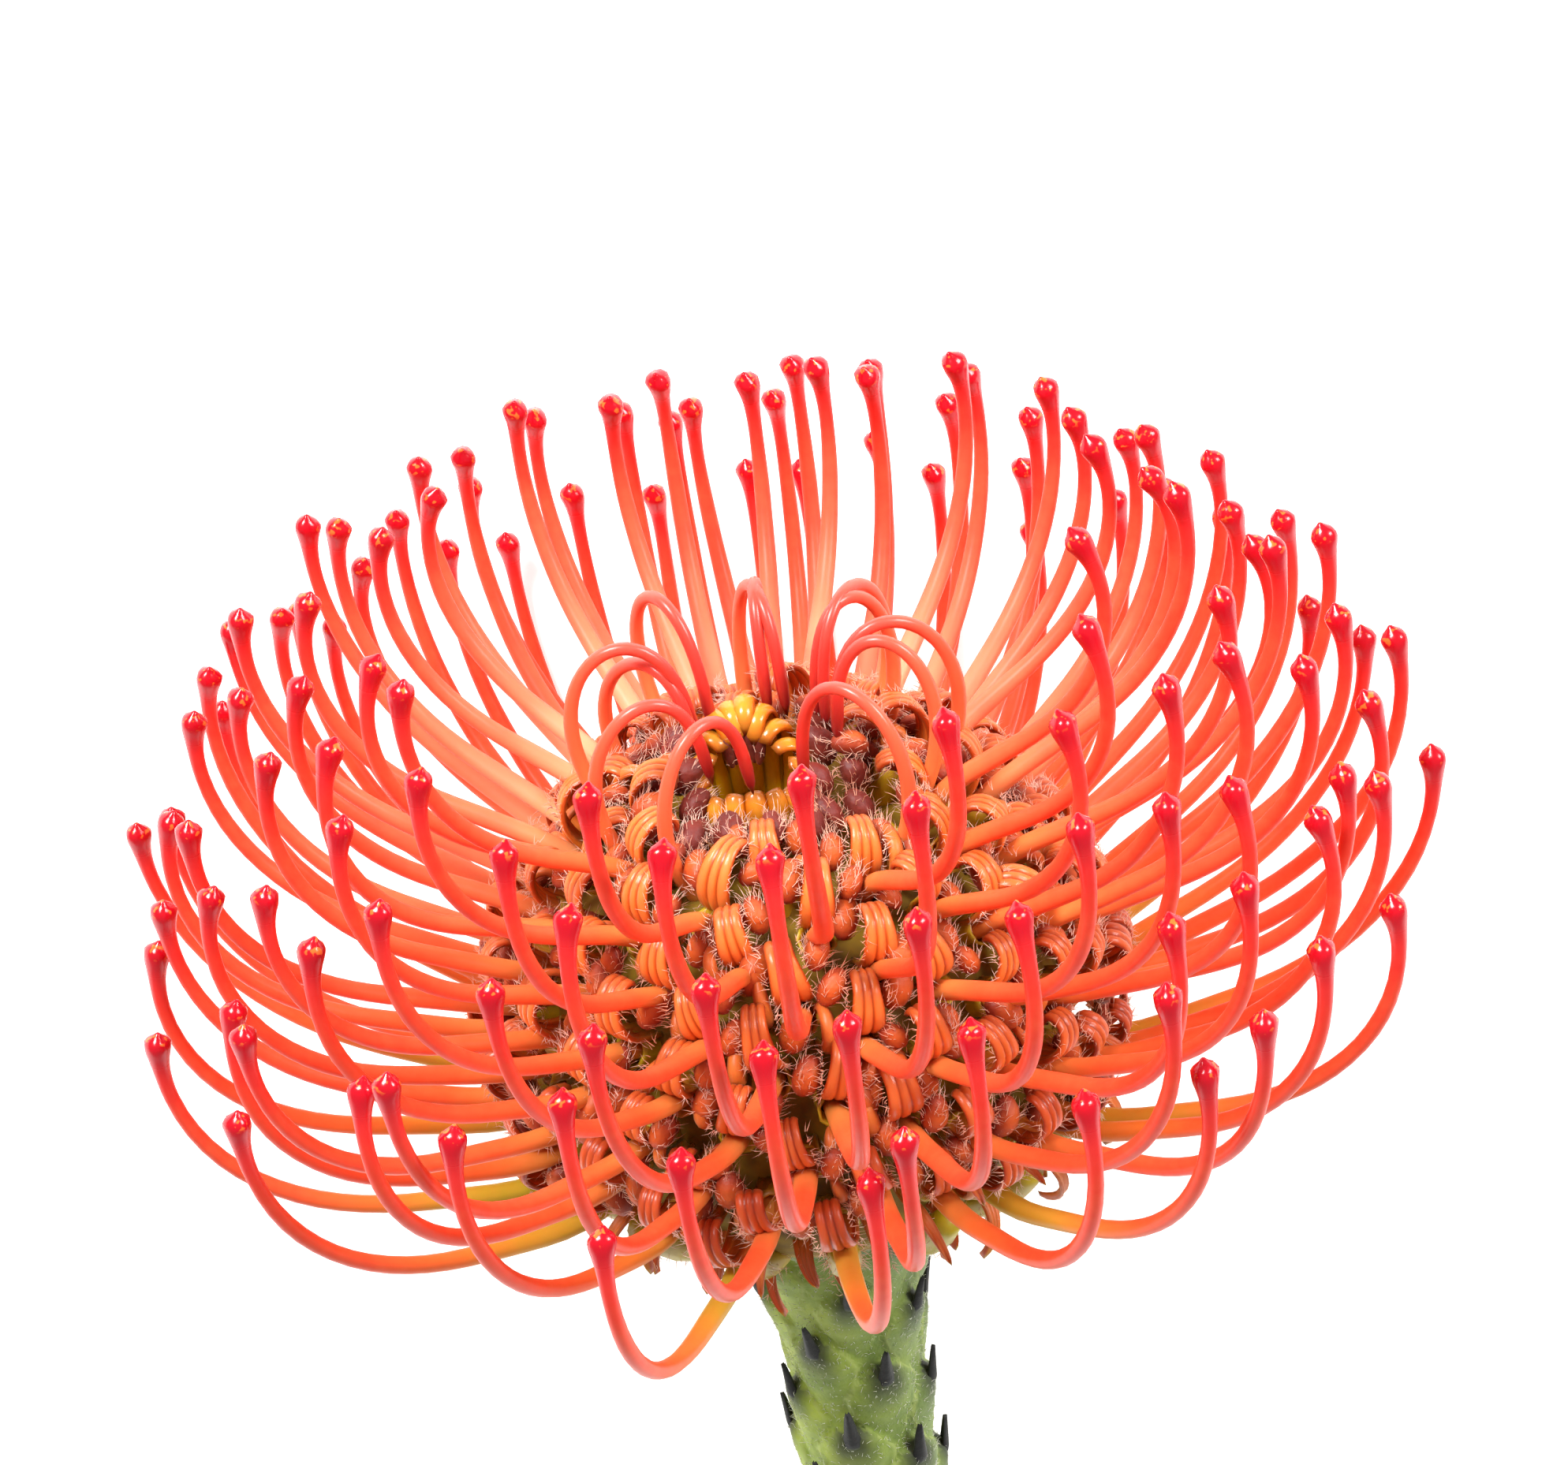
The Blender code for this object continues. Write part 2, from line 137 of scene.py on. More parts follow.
# Table, light and camera. The flower is looked at from just above its middle, a little from the side
# of its open face, on a plain white table under large soft lamps.
CAMERA_AWAY = 350 * MM
CAMERA_ABOVE_SQUARE = radians(36)
CAMERA_ROLL = radians(8.7)
CAMERA_LOOKS_UP = radians(3.28)
CAMERA_LOOKS_LEFT = radians(0.26)
LAMP_SIZE = 0.25
TABLE_SIZE = 3.0
to_camera = -forward * cos(CAMERA_ABOVE_SQUARE) + axis * sin(CAMERA_ABOVE_SQUARE)
axis_in_view = (axis - to_camera * axis.dot(to_camera)).normalized()
right_in_view = axis_in_view.cross(to_camera)
camera = bpy.data.objects.new("camera", bpy.data.cameras.new("camera"))
camera.data.lens = 107.1
camera.data.sensor_width = 36
camera.data.clip_start = 0.01
camera.matrix_world = (
    Matrix.Translation(head_middle + to_camera * CAMERA_AWAY)
    @ turned_to(right_in_view, axis_in_view, to_camera)
    @ Matrix.Rotation(-CAMERA_ROLL, 4, "Z")
    @ Matrix.Rotation(CAMERA_LOOKS_UP, 4, "X")
    @ Matrix.Rotation(CAMERA_LOOKS_LEFT, 4, "Y")
)
shown.link(camera)
scene.camera = camera
scene.view_settings.view_transform = "Standard"

bm = bmesh.new()
bmesh.ops.create_grid(bm, x_segments=1, y_segments=1, size=TABLE_SIZE)
table = bpy.data.objects.new("table", finished(bm, "table"))
shown.link(table)
white = bpy.data.materials.new("white_table")
white.use_nodes = True
white_inputs = white.node_tree.nodes["Principled BSDF"].inputs
white_inputs["Base Color"].default_value = (0.9, 0.9, 0.9, 1)
white_inputs["Roughness"].default_value = 0.9
white_inputs["Specular IOR Level"].default_value = 0.1
white_inputs["Emission Color"].default_value = (1, 1, 1, 1)
white_inputs["Emission Strength"].default_value = 0.6
table.data.materials.append(white)

world = bpy.data.worlds.new("soft_room")
world.use_nodes = True
room_inputs = world.node_tree.nodes["Background"].inputs
room_inputs["Color"].default_value = (1, 1, 1, 1)
room_inputs["Strength"].default_value = 0.38
scene.world = world


def add_lamp(name, place, power):
    """A soft square lamp that shines on the middle of the head."""
    lamp = bpy.data.objects.new(name, bpy.data.lights.new(name, "AREA"))
    lamp.data.energy = power
    lamp.data.size = LAMP_SIZE
    lamp.location = place
    lamp.rotation_euler = (head_middle - Vector(place)).to_track_quat("-Z", "Y").to_euler()
    shown.link(lamp)


add_lamp("lamp_over_left", (-0.30, 0.50, 0.55), 8.5)
add_lamp("lamp_over_right", (0.50, 0.30, 0.50), 5.0)


# Open styles. Each is the floret's own wiry style, stiff and waxy, growing out of the head, straight
# for a while and then bending up and over to a swollen tip that carries the pollen. They are coral,
# pale where they leave the head, and crimson and glossy at the tip. On the far side of the head their
# feet are paler still, a painted glow of backlight.
FLORETS = 152
OPEN_FLORETS = 134
GOLDEN_ANGLE = pi * (3 - sqrt(5))
FIRST_AZIMUTH = radians(150)
LOWEST_POLAR = radians(112)
STYLE_SEED = 192450
STYLE_STEPS = 50
STYLE_ROOT = 19.0 * MM
STYLE_LENGTH = (44.2 * MM, 32.0 * MM)
STYLE_RISE = (radians(18), radians(32))
TIP_RISE = (radians(102), radians(118))
LEAVING = 0.22  # share of the length over which a style turns from the head to its own rise
BEND_START = 0.32
BEND_POWER = 1.25
STYLE_SIDES = 12
SHAFT_RINGS = 22
SHAFT_RADIUS = ((0.0, 0.86), (0.25, 0.78), (0.55, 0.68), (0.8, 0.61), (1.0, 0.54))  # share, mm
KNOB_OUTLINE = (  # mm from the tip, radius in mm
    (6.0, 0.54), (5.2, 0.55), (4.6, 0.565), (4.0, 0.59), (3.5, 0.625), (3.05, 0.67), (2.65, 0.73),
    (2.25, 0.80), (1.9, 0.88), (1.55, 0.95), (1.25, 0.985), (0.95, 0.96), (0.66, 0.79),
    (0.44, 0.50), (0.24, 0.29), (0.08, 0.15), (0.0, 0.0),
)
FLATTENED = (0.10, 0.14)  # how much wider and thinner the foot of a style is than round
TIP_REACH = 50.0  # mm of style over which its colour changes
CREASED_TIP = 2.4  # mm of tip with three shallow creases and a beak to one side
CREASES_AT = (0.95, 0.55)  # mm from the tip where they are deepest, and how far they spread
CREASE_DEPTH = 0.075
BEAK = 0.20 * MM


def random_angle(draw, low, high):
    """A random angle between two given in degrees."""
    return radians(draw.uniform(low, high))


def mix(pair, share):
    return pair[0] + (pair[1] - pair[0]) * share


def smooth_step(share):
    share = min(1.0, max(0.0, share))
    return share * share * (3 - 2 * share)


def outward(azimuth):
    return Vector((sin(azimuth), -cos(azimuth), 0))


def on_ball(polar, azimuth, radius):
    """A point by its angle from the apex, azimuth from the front and radius."""
    return (outward(azimuth) * sin(polar) + UP * cos(polar)) * radius


def floret_angles(index):
    """Angle from the apex and azimuth of one floret."""
    share = (index + 0.5) / FLORETS
    lowest = cos(LOWEST_POLAR)
    return acos(lowest + (1 - lowest) * share), FIRST_AZIMUTH + index * GOLDEN_ANGLE


def kept_above_surface(point):
    """A point of a style, lifted so that the style bends along the table."""
    height = height_above_surface(point) - PRESSED_HEIGHT
    if height > 8 * SURFACE_GIVE:
        return point
    return lifted(point, SURFACE_GIVE * log1p(exp(height / SURFACE_GIVE)) - height)


def style_path(index):
    """Centreline of an open style, from inside the head to its tip, in even steps."""
    age = index / (OPEN_FLORETS - 1)
    draw = Random(STYLE_SEED + index)
    polar, azimuth = floret_angles(index)
    rise = mix(STYLE_RISE, age) + random_angle(draw, -4, 4)
    bend = mix(TIP_RISE, age) + random_angle(draw, -9, 9) - rise
    yaw = random_angle(draw, -15, 15)
    length = mix(STYLE_LENGTH, age) * draw.uniform(0.95, 1.05)
    square_on = pi / 2 - polar
    point = on_ball(polar, azimuth, STYLE_ROOT)
    points = []
    for step in range(STYLE_STEPS + 1):
        points.append(kept_above_surface(point))
        share = (step + 0.5) / STYLE_STEPS
        angle = square_on + (rise - square_on) * smooth_step(share / LEAVING)
        angle += bend * max(0.0, (share - BEND_START) / (1 - BEND_START)) ** BEND_POWER
        heading = outward(azimuth + yaw * share) * cos(angle) + UP * sin(angle)
        point = point + heading * (length / STYLE_STEPS)
    return points


def at_share(points, share):
    """The point at a share of the way along a path."""
    place = share * (len(points) - 1)
    low = min(int(place), len(points) - 2)
    return points[low].lerp(points[low + 1], place - low)


def from_table(table, value):
    """Reads a table of (place, amount), smoothly between its rows."""
    for (start, low), (end, high) in zip(table, table[1:]):
        if (value - start) * (value - end) <= 0:
            return low + (high - low) * smooth_step((value - start) / (end - start))
    return table[-1][1]


def turned(outline, sides, attributes=()):
    """A form turned about Z from an outline of (out, up) in metres, with values to fill in."""
    bm = bmesh.new()
    verts = [bm.verts.new((out, 0, up)) for out, up in outline]
    edges = [bm.edges.new(pair) for pair in zip(verts, verts[1:])]
    bmesh.ops.spin(
        bm, geom=verts + edges, cent=(0, 0, 0), axis=UP, angle=2 * pi, steps=sides, use_merge=True
    )
    bmesh.ops.remove_doubles(bm, verts=bm.verts, dist=0.002 * MM)
    bmesh.ops.recalc_face_normals(bm, faces=bm.faces)
    for attribute in attributes:
        bm.verts.layers.float.new(attribute)
    return finished(bm)


def bent(shape, path, side, shares, **values):
    """A turned form whose rings, kept at whole mm of Z, are set square to a path without twist."""
    points = [at_share(path, share) for share in shares]
    places = []
    for number, point in enumerate(points):
        along = (points[min(number + 1, len(points) - 1)] - points[max(number - 1, 0)]).normalized()
        side = (side - along * side.dot(along)).normalized()
        places.append(Matrix.Translation(point) @ turned_to(side, along.cross(side), along))
    mesh = shape.copy()
    rings = [round(vertex.co.z / MM) for vertex in mesh.vertices]
    for vertex, ring in zip(mesh.vertices, rings):
        vertex.co = places[ring] @ Vector((vertex.co.x, vertex.co.y, 0))
    for attribute, numbers in values.items():
        mesh.attributes[attribute].data.foreach_set("value", [numbers[ring] for ring in rings])
    return mesh


def filled(mesh, **values):
    """The mesh with one value all over for each attribute named."""
    for attribute, value in values.items():
        mesh.attributes[attribute].data.foreach_set("value", [value] * len(mesh.vertices))
    return mesh


def in_metres(outline):
    return [(out * MM, up * MM) for out, up in outline]


def ringed(radii):
    """An outline of radii in mm, with its rings at whole mm of height."""
    return in_metres((radius, ring) for ring, radius in enumerate(radii))


shaft = [from_table(SHAFT_RADIUS, ring / SHAFT_RINGS) for ring in range(SHAFT_RINGS)]
radii = shaft + [radius for _, radius in KNOB_OUTLINE]
style_shape = turned(ringed(radii), STYLE_SIDES, ("from_tip", "along", "tone", "age", "pale"))
for vertex in style_shape.vertices:
    ring = round(vertex.co.z / MM)
    if ring < SHAFT_RINGS:
        flat = 1 - ring / SHAFT_RINGS
        vertex.co.x *= 1 + FLATTENED[0] * flat
        vertex.co.y *= 1 - FLATTENED[1] * flat
        continue
    from_tip = KNOB_OUTLINE[ring - SHAFT_RINGS][0]
    if from_tip < CREASED_TIP:
        round_it = atan2(vertex.co.y, vertex.co.x)
        swell = exp(-(((from_tip - CREASES_AT[0]) / CREASES_AT[1]) ** 2))
        crease = 1 + CREASE_DEPTH * swell * cos(3 * round_it + 0.6)
        vertex.co.x = vertex.co.x * crease + BEAK * (1 - from_tip / CREASED_TIP) ** 2
        vertex.co.y *= crease

style_meshes = []
for index in range(OPEN_FLORETS):
    path = style_path(index)
    length = sum((b - a).length for a, b in zip(path, path[1:])) / MM
    shaft_part = 1 - KNOB_OUTLINE[0][0] / length
    shares = [shaft_part * ring / SHAFT_RINGS for ring in range(SHAFT_RINGS)]
    shares += [1 - from_tip / length for from_tip, _ in KNOB_OUTLINE]
    _, azimuth = floret_angles(index)
    age = index / (OPEN_FLORETS - 1)
    tone = 0.55 * Random(index).random() + 0.45 * (0.5 + 0.5 * sin(azimuth))
    # The pale value paints a backlight glow: the feet of the upper styles on the far side of the head
    # are made paler.
    pale = smooth_step((age - 0.3) / 0.45) * smooth_step(0.35 - 0.75 * cos(azimuth))
    from_tip = [(1 - share) * length / TIP_REACH for share in shares]
    side = UP.cross(outward(azimuth))
    mesh = bent(style_shape, path, side, shares, from_tip=from_tip, along=shares)
    style_meshes.append(filled(mesh, tone=tone, age=age, pale=pale))


def tint(red, green, blue):
    """A painter's colour, of 0 to 255 levels, as light levels."""
    levels = [level / 255 for level in (red, green, blue)]
    return tuple(
        level / 12.92 if level <= 0.04045 else ((level + 0.055) / 1.055) ** 2.4 for level in levels
    )


class Finish:
    """A node material, with short calls that add what feeds its shader."""

    def __init__(self, name, roughness=0.5, specular=0.5):
        self.material = bpy.data.materials.new(name)
        self.material.use_nodes = True
        self.nodes = self.material.node_tree.nodes
        self.inputs = self.nodes["Principled BSDF"].inputs
        self.inputs["Roughness"].default_value = roughness
        self.inputs["Specular IOR Level"].default_value = specular

    def link(self, source, target):
        """Joins a socket, or the mesh's values of a name, to another socket."""
        if isinstance(source, str):
            node = self.nodes.new("ShaderNodeAttribute")
            node.attribute_name = source
            source = node.outputs["Fac"]
        self.material.node_tree.links.new(source, target)

    def soften(self, weight, radius, scale):
        """Light that enters the surface and comes out again within some mm."""
        self.inputs["Subsurface Weight"].default_value = weight
        self.inputs["Subsurface Radius"].default_value = radius
        self.inputs["Subsurface Scale"].default_value = scale * MM

    def velvet(self, weight, roughness, colour):
        """The pale glow of fine down at the edges."""
        self.inputs["Sheen Weight"].default_value = weight
        self.inputs["Sheen Roughness"].default_value = roughness
        self.inputs["Sheen Tint"].default_value = (*tint(*colour), 1)

    def place(self, scale=(1, 1, 1), shift=(0, 0, 0)):
        """The object's own coordinates, scaled and then shifted."""
        coordinates = self.nodes.new("ShaderNodeTexCoord")
        mapping = self.nodes.new("ShaderNodeMapping")
        mapping.inputs["Scale"].default_value = scale
        mapping.inputs["Location"].default_value = shift
        self.link(coordinates.outputs["Object"], mapping.inputs["Vector"])
        return mapping.outputs["Vector"]

    def noise(self, scale, detail, roughness=0.5):
        node = self.nodes.new("ShaderNodeTexNoise")
        self.feed(node, "Scale", scale)
        self.feed(node, "Detail", detail)
        self.feed(node, "Roughness", roughness)
        self.link(self.place(), node.inputs["Vector"])
        return node.outputs["Fac"]

    def ramp(self, value, stops):
        """Reads a value off a row of (position, painter's colour or plain amount)."""
        node = self.nodes.new("ShaderNodeValToRGB")
        elements = node.color_ramp.elements
        for number, (position, colour) in enumerate(stops):
            stop = elements[number] if number < 2 else elements.new(position)
            stop.position = position
            stop.color = (*(tint(*colour) if isinstance(colour, tuple) else (colour,) * 3), 1)
        self.link(value, node.inputs["Fac"])
        return node.outputs["Color"]

    def feed(self, node, name, value):
        """Gives a node's socket an amount, a painter's colour or a link."""
        if isinstance(value, (int, float)):
            node.inputs[name].default_value = value
        elif isinstance(value, tuple):
            node.inputs[name].default_value = (*tint(*value), 1)
        else:
            self.link(value, node.inputs[name])

    def combine(self, operation, first, second):
        """Two values added or multiplied, and kept between 0 and 1."""
        node = self.nodes.new("ShaderNodeMath")
        node.operation = operation
        node.use_clamp = True
        self.feed(node, 0, first)
        self.feed(node, 1, second)
        return node.outputs[0]

    def blend(self, share, first, second, most=None):
        """The second colour over the first by a share, at most so much of it."""
        if most is not None:
            share = self.combine("MULTIPLY", share, most)
        node = self.nodes.new("ShaderNodeMix")
        node.data_type = "RGBA"
        for name, value in ((0, share), (6, first), (7, second)):
            self.feed(node, name, value)
        return node.outputs[2]

    def raise_by(self, height, distance, strength):
        node = self.nodes.new("ShaderNodeBump")
        self.feed(node, "Distance", distance * MM)
        self.feed(node, "Strength", strength)
        self.link(height, node.inputs["Height"])
        self.link(node.outputs["Normal"], self.inputs["Normal"])

    def colour(self, value):
        self.link(value, self.inputs["Base Color"])


coral = Finish("coral_style")
# Painted backlight glow: the paler feet of the styles on the far side of the head.
backlit_pale_foot = ((0.06, (248, 196, 140)), (0.20, (252, 176, 136)), (0.36, (250, 132, 98)))
backlit_pale_foot = coral.ramp("along", (*backlit_pale_foot, (0.56, (246, 94, 68)), (0.80, (240, 72, 50))))
tan_foot = ((0.07, (206, 140, 62)), (0.15, (230, 136, 66)), (0.24, (246, 104, 52)))
tan_foot = coral.ramp("along", (*tan_foot, (0.45, (246, 84, 50)), (0.76, (240, 68, 46))))
green_foot = ((0.10, (170, 172, 36)), (0.26, (204, 174, 50)), (0.38, (236, 134, 56)))
green_foot = coral.ramp("along", (*green_foot, (0.56, (246, 94, 54)), (0.80, (240, 68, 46))))
low_one = coral.ramp("age", ((0.05, 0), (0.18, 1)))
body_colour = coral.blend(low_one, green_foot, tan_foot)
# Painted backlight glow, laid on the feet of the far styles by their pale value.
body_colour = coral.blend("pale", body_colour, backlit_pale_foot)
body_colour = coral.blend("tone", body_colour, (226, 46, 34), 0.4)
mottle = coral.noise(900, 2)
body_colour = coral.blend(mottle, body_colour, (255, 156, 96), 0.18)
crimson = coral.ramp("from_tip", ((0.0, (180, 4, 26)), (0.03, (200, 8, 30)), (0.08, (226, 26, 40))))
body_colour = coral.blend(coral.ramp("from_tip", ((0.04, 0), (0.18, 1))), crimson, body_colour)
specks = coral.ramp(coral.noise(1900, 1), ((0.60, 0), (0.66, 1)))
on_knob = coral.ramp("from_tip", ((0.0, 1), (0.018, 1), (0.026, 0)))
pollen = coral.combine("MULTIPLY", specks, on_knob)
coral.colour(coral.blend(pollen, body_colour, (246, 130, 50), 0.7))
coral.raise_by(mottle, 0.05, 0.3)
roughness = coral.ramp("from_tip", ((0.0, 0.16), (0.08, 0.32), (1.0, 0.46)))
coral.link(roughness, coral.inputs["Roughness"])
gloss = coral.ramp("from_tip", ((0.05, 0.45), (0.12, 0.16)))
coral.link(gloss, coral.inputs["Specular IOR Level"])
coral.soften(0.2, (1.0, 0.28, 0.12), 1.0)
add_piece("open_styles", style_meshes, coral, "florets", "flower_head")


# Core of the head. A firm rounded receptacle that carries every floret square to its own surface,
# and from it the short yellow-green tube of each floret, out of which its style grows.
CORE_RADIUS = 19.2 * MM
CORE_TOP = 16.0 * MM
CORE_BOTTOM = -14.5 * MM
CORE_RINGS = 24
CORE_SIDES = 64
TUBES = 142
TUBE_SEED = 3000
TUBE_FOOT = 21.0 * MM
TUBE_SIDES = 9
TUBE_OUTLINE = (  # mm out, mm up
    (1.1, -3.6), (1.3, -2.2), (1.25, -0.9), (1.5, 0.1), (1.25, 0.0), (1.0, -1.2),
)
lowest = asin(CORE_BOTTOM / CORE_RADIUS)
highest = asin(CORE_TOP / CORE_RADIUS)
core_outline = [(0, CORE_BOTTOM)]
for ring in range(CORE_RINGS + 1):
    angle = lowest + (highest - lowest) * ring / CORE_RINGS
    core_outline.append((CORE_RADIUS * cos(angle), CORE_RADIUS * sin(angle)))
core_outline.append((0, CORE_TOP))
olive = Finish("olive_receptacle", 0.8)
patches = olive.noise(260, 3)
# Painted shade: the receptacle's own olive, darkened for the deep shade in the gaps between the
# florets.
olive.colour(olive.ramp(patches, ((0.3, (104, 74, 4)), (0.55, (146, 114, 8)), (0.75, (176, 146, 20)))))
olive.raise_by(patches, 0.4, 0.6)
olive.soften(0.3, (0.9, 0.6, 0.1), 1.5)
add_piece("head_core", [turned(core_outline, CORE_SIDES)], olive, "florets", "flower_head")


def on_head(polar, azimuth, radius, roll=0.0, size=1.0):
    """Placing matrix on the head: X along it, Y up towards the apex, Z out."""
    out = on_ball(polar, azimuth, 1.0)
    sideways = UP.cross(out).normalized()
    turn = turned_to(sideways, out.cross(sideways), out) @ Matrix.Rotation(roll, 4, "Z")
    return Matrix.Translation(out * radius) @ turn @ Matrix.Scale(size, 4)


def put(shape, place, **values):
    """A copy of a shape set in its place, with its values."""
    mesh = shape.copy()
    mesh.transform(place)
    return filled(mesh, **values)


tube_shape = turned(in_metres(TUBE_OUTLINE), TUBE_SIDES, ("tone",))
tube_meshes = []
for index in range(TUBES):
    polar, azimuth = floret_angles(index)
    draw = Random(TUBE_SEED + index)
    lean = Matrix.Rotation(random_angle(draw, -12, 12), 4, "X")
    place = on_head(polar, azimuth, TUBE_FOOT, draw.uniform(0, 6)) @ lean
    tube_meshes.append(put(tube_shape, place, tone=draw.random()))
sap = Finish("sap_tube", 0.42)
sap_noise = sap.noise(420, 3)
green_tube = sap.ramp(sap_noise, ((0.3, (160, 140, 10)), (0.7, (196, 178, 34))))
brown_tube = sap.ramp(sap_noise, ((0.3, (180, 106, 20)), (0.7, (214, 140, 40))))
sap.colour(sap.blend("tone", green_tube, brown_tube))
sap.soften(0.3, (0.9, 0.6, 0.1), 1.0)
add_piece("floret_tubes", tube_meshes, sap, "florets")


# Curled perianths. When a floret opens, three of its four petals stay joined as one ribbed golden
# ribbon, which springs back and rolls up towards the top of the head, above its style. The fourth
# petal curls on its own as a narrow claw beside the ribbon.
RIBBONS = 142
RIBBON_FOOT = 22.0 * MM
FOOT_SUNK = -3.0  # mm, of the ribbons and claws, below that height
RIBBON_HALF_WIDTH = 1.4 * MM
RIBBON_EDGE_HAIRS = 30
OPEN_FRONT = 0.6  # cosine of the azimuth up to which the last ribbons are left out before the pit
CLAW_ASIDE = 2.3 * MM
ROLL_STEPS = 40


def ribbon_shape(ribs, cells, sizes):
    """A flat ribbon with rounded ribs: X across, Y from 0 to 1 along it, Z its outer face."""
    half_width, thickness, depth = sizes
    bm = bmesh.new()
    for layer in ("rib", "along", "tone", "age"):
        bm.verts.layers.float.new(layer)
    bmesh.ops.create_grid(bm, x_segments=cells[0], y_segments=cells[1], size=1.0)
    rib, along = bm.verts.layers.float["rib"], bm.verts.layers.float["along"]
    for vertex in bm.verts:
        place, share = vertex.co.x, (vertex.co.y + 1) / 2
        height = abs(cos(pi * (place + 0.06 * sin(pi * place)) * ribs / 2)) ** 0.4
        vertex[rib] = height
        vertex[along] = share
        vertex.co = Vector((place * half_width, share, (height - 0.8 * place * place) * depth))
    bmesh.ops.recalc_face_normals(bm, faces=bm.faces)
    bmesh.ops.solidify(bm, geom=bm.faces[:], thickness=thickness)
    bmesh.ops.recalc_face_normals(bm, faces=bm.faces)
    return finished(bm)


def rolled(shape, curve, width_at, place, side=0.0, **values):
    """A ribbon bent along a curve in Y and Z, its outer face away from the roll."""
    mesh = shape.copy()
    steps = len(curve) - 1
    for vertex in mesh.vertices:
        share = min(1.0, max(0.0, vertex.co.y))
        low = min(int(share * steps), steps - 1)
        heading = (curve[low + 1] - curve[low]).normalized()
        point = at_share(curve, share) + Vector((0, -heading.z, heading.y)) * vertex.co.z
        point.x += side * share * share + vertex.co.x * width_at(share)
        vertex.co = place @ point
    return filled(mesh, **values)


def roll_curve(foot, straight, lean, radius, tighter, turning):
    """A ribbon's middle line in mm and degrees: straight for a stretch, then rolled to one side."""
    straight, radius, turning = straight * MM, radius * MM, radians(turning)
    length = straight + radius * abs(turning)
    point, angle = Vector((0, foot[0] * MM, foot[1] * MM)), radians(lean)
    points = [point]
    for step in range(ROLL_STEPS):
        away = (step + 0.5) / ROLL_STEPS * length
        if away > straight:
            wound = (away - straight) / (length - straight)
            angle += copysign(length / ROLL_STEPS / (radius * (1 - tighter * wound)), turning)
        point = point + Vector((0, sin(angle), cos(angle))) * (length / ROLL_STEPS)
        points.append(point)
    return points


def claw_width(share):
    return 1.15 * (1 - share) ** 0.35 * (0.75 + 0.25 * sin(pi * share))


def hair_at(place, root, aim, length):
    """A hair of a placed piece as its root, direction and length in mm."""
    return place @ root, (place.to_3x3() @ aim).normalized(), length


def edge_hair(draw, place, curve, step, aside, away, onward, upward, longest):
    """A hair at a step of a ribbon, aside of its middle, with the ranges it may lean within."""
    heading = (curve[step + 1] - curve[step]).normalized()
    aim = Vector((copysign(draw.uniform(*away), aside), 0, 0)) + heading * draw.uniform(*onward)
    aim += Vector((0, -heading.z, heading.y)) * draw.uniform(*upward)
    root = Vector((aside, curve[step].y, curve[step].z))
    return hair_at(place, root, aim, draw.uniform(0.4, longest))


ribbon_flat = ribbon_shape(3, (14, 18), (RIBBON_HALF_WIDTH, 0.36 * MM, 0.17 * MM))
claw_flat = ribbon_shape(1, (4, 14), (0.62 * MM, 0.26 * MM, 0.22 * MM))
ribbon_hairs = []
pod_places = []  # placing matrix, size and age of each pod
ribbon_meshes = []
claw_meshes = []
for index in range(RIBBONS):
    polar, azimuth = floret_angles(index)
    age = index / (RIBBONS - 1)
    if index >= OPEN_FLORETS + 4 and cos(azimuth) > OPEN_FRONT:
        continue
    draw = Random(STYLE_SEED - index)
    roll = random_angle(draw, -20, 20)
    size = draw.uniform(0.9, 1.08)
    tone = draw.random()
    curve = roll_curve(
        (1.0, FOOT_SUNK),
        draw.uniform(1.6, 2.3),
        draw.uniform(-14, 2),
        draw.uniform(3.9, 4.7),
        draw.uniform(0.78, 0.84),
        draw.uniform(100, 118),
    )
    place = on_head(polar, azimuth, RIBBON_FOOT, roll, size)
    taper = draw.uniform(0.1, 0.3)

    def ribbon_width(share):
        return 0.86 + 0.2 * sin(pi * min(1, share * 1.4)) - taper * share

    aside = draw.uniform(-0.5, 0.5) * MM
    ribbon_meshes.append(rolled(ribbon_flat, curve, ribbon_width, place, aside, tone=tone, age=age))
    for edge in (-1, 1):
        for _ in range(RIBBON_EDGE_HAIRS):
            step = 6 + round(28 * draw.random() ** 0.7)
            aside = edge * RIBBON_HALF_WIDTH * draw.uniform(0.84, 0.98)
            leans = ((0.1, 1), (-0.1, 1.0), (0.0, 0.8))
            ribbon_hairs.append(edge_hair(draw, place, curve, step, aside, *leans, 1.0))
    side = 1 if draw.random() < 0.5 else -1
    for which, chance in ((side, 1.0), (-side, 0.7)):
        if draw.random() < chance:
            shift = Vector(
                (which * draw.uniform(1.9, 2.4), draw.uniform(2.6, 4.4), draw.uniform(-0.3, 0.7))
            )
            tilt = Matrix.Rotation(random_angle(draw, -35, 35), 4, "Z")
            tilt = tilt @ Matrix.Rotation(random_angle(draw, -30, 20), 4, "X")
            pod_place = place @ Matrix.Translation(shift * MM) @ tilt
            pod_places.append((pod_place, draw.uniform(0.85, 1.15), age))
    if age < 0.3 and draw.random() < 0.55:
        turning = -draw.uniform(60, 150)
        straight, radius = draw.uniform(2.0, 3.5), draw.uniform(2.4, 3.6)
    else:
        turning = draw.uniform(150, 330)
        straight, radius = draw.uniform(1.8, 3.0), draw.uniform(1.1, 1.9)
    foot = (draw.uniform(-0.6, 0.8), FOOT_SUNK)
    lean, tighter = draw.uniform(-12, 12), draw.uniform(0.0, 0.3)
    curve = roll_curve(foot, straight, lean, radius, tighter, turning)
    place = place @ Matrix.Translation((-side * CLAW_ASIDE, 0, 0))
    aside = draw.uniform(-1.2, 1.2) * MM
    tone = draw.random()
    claw_meshes.append(rolled(claw_flat, curve, claw_width, place, aside, tone=tone, age=age))

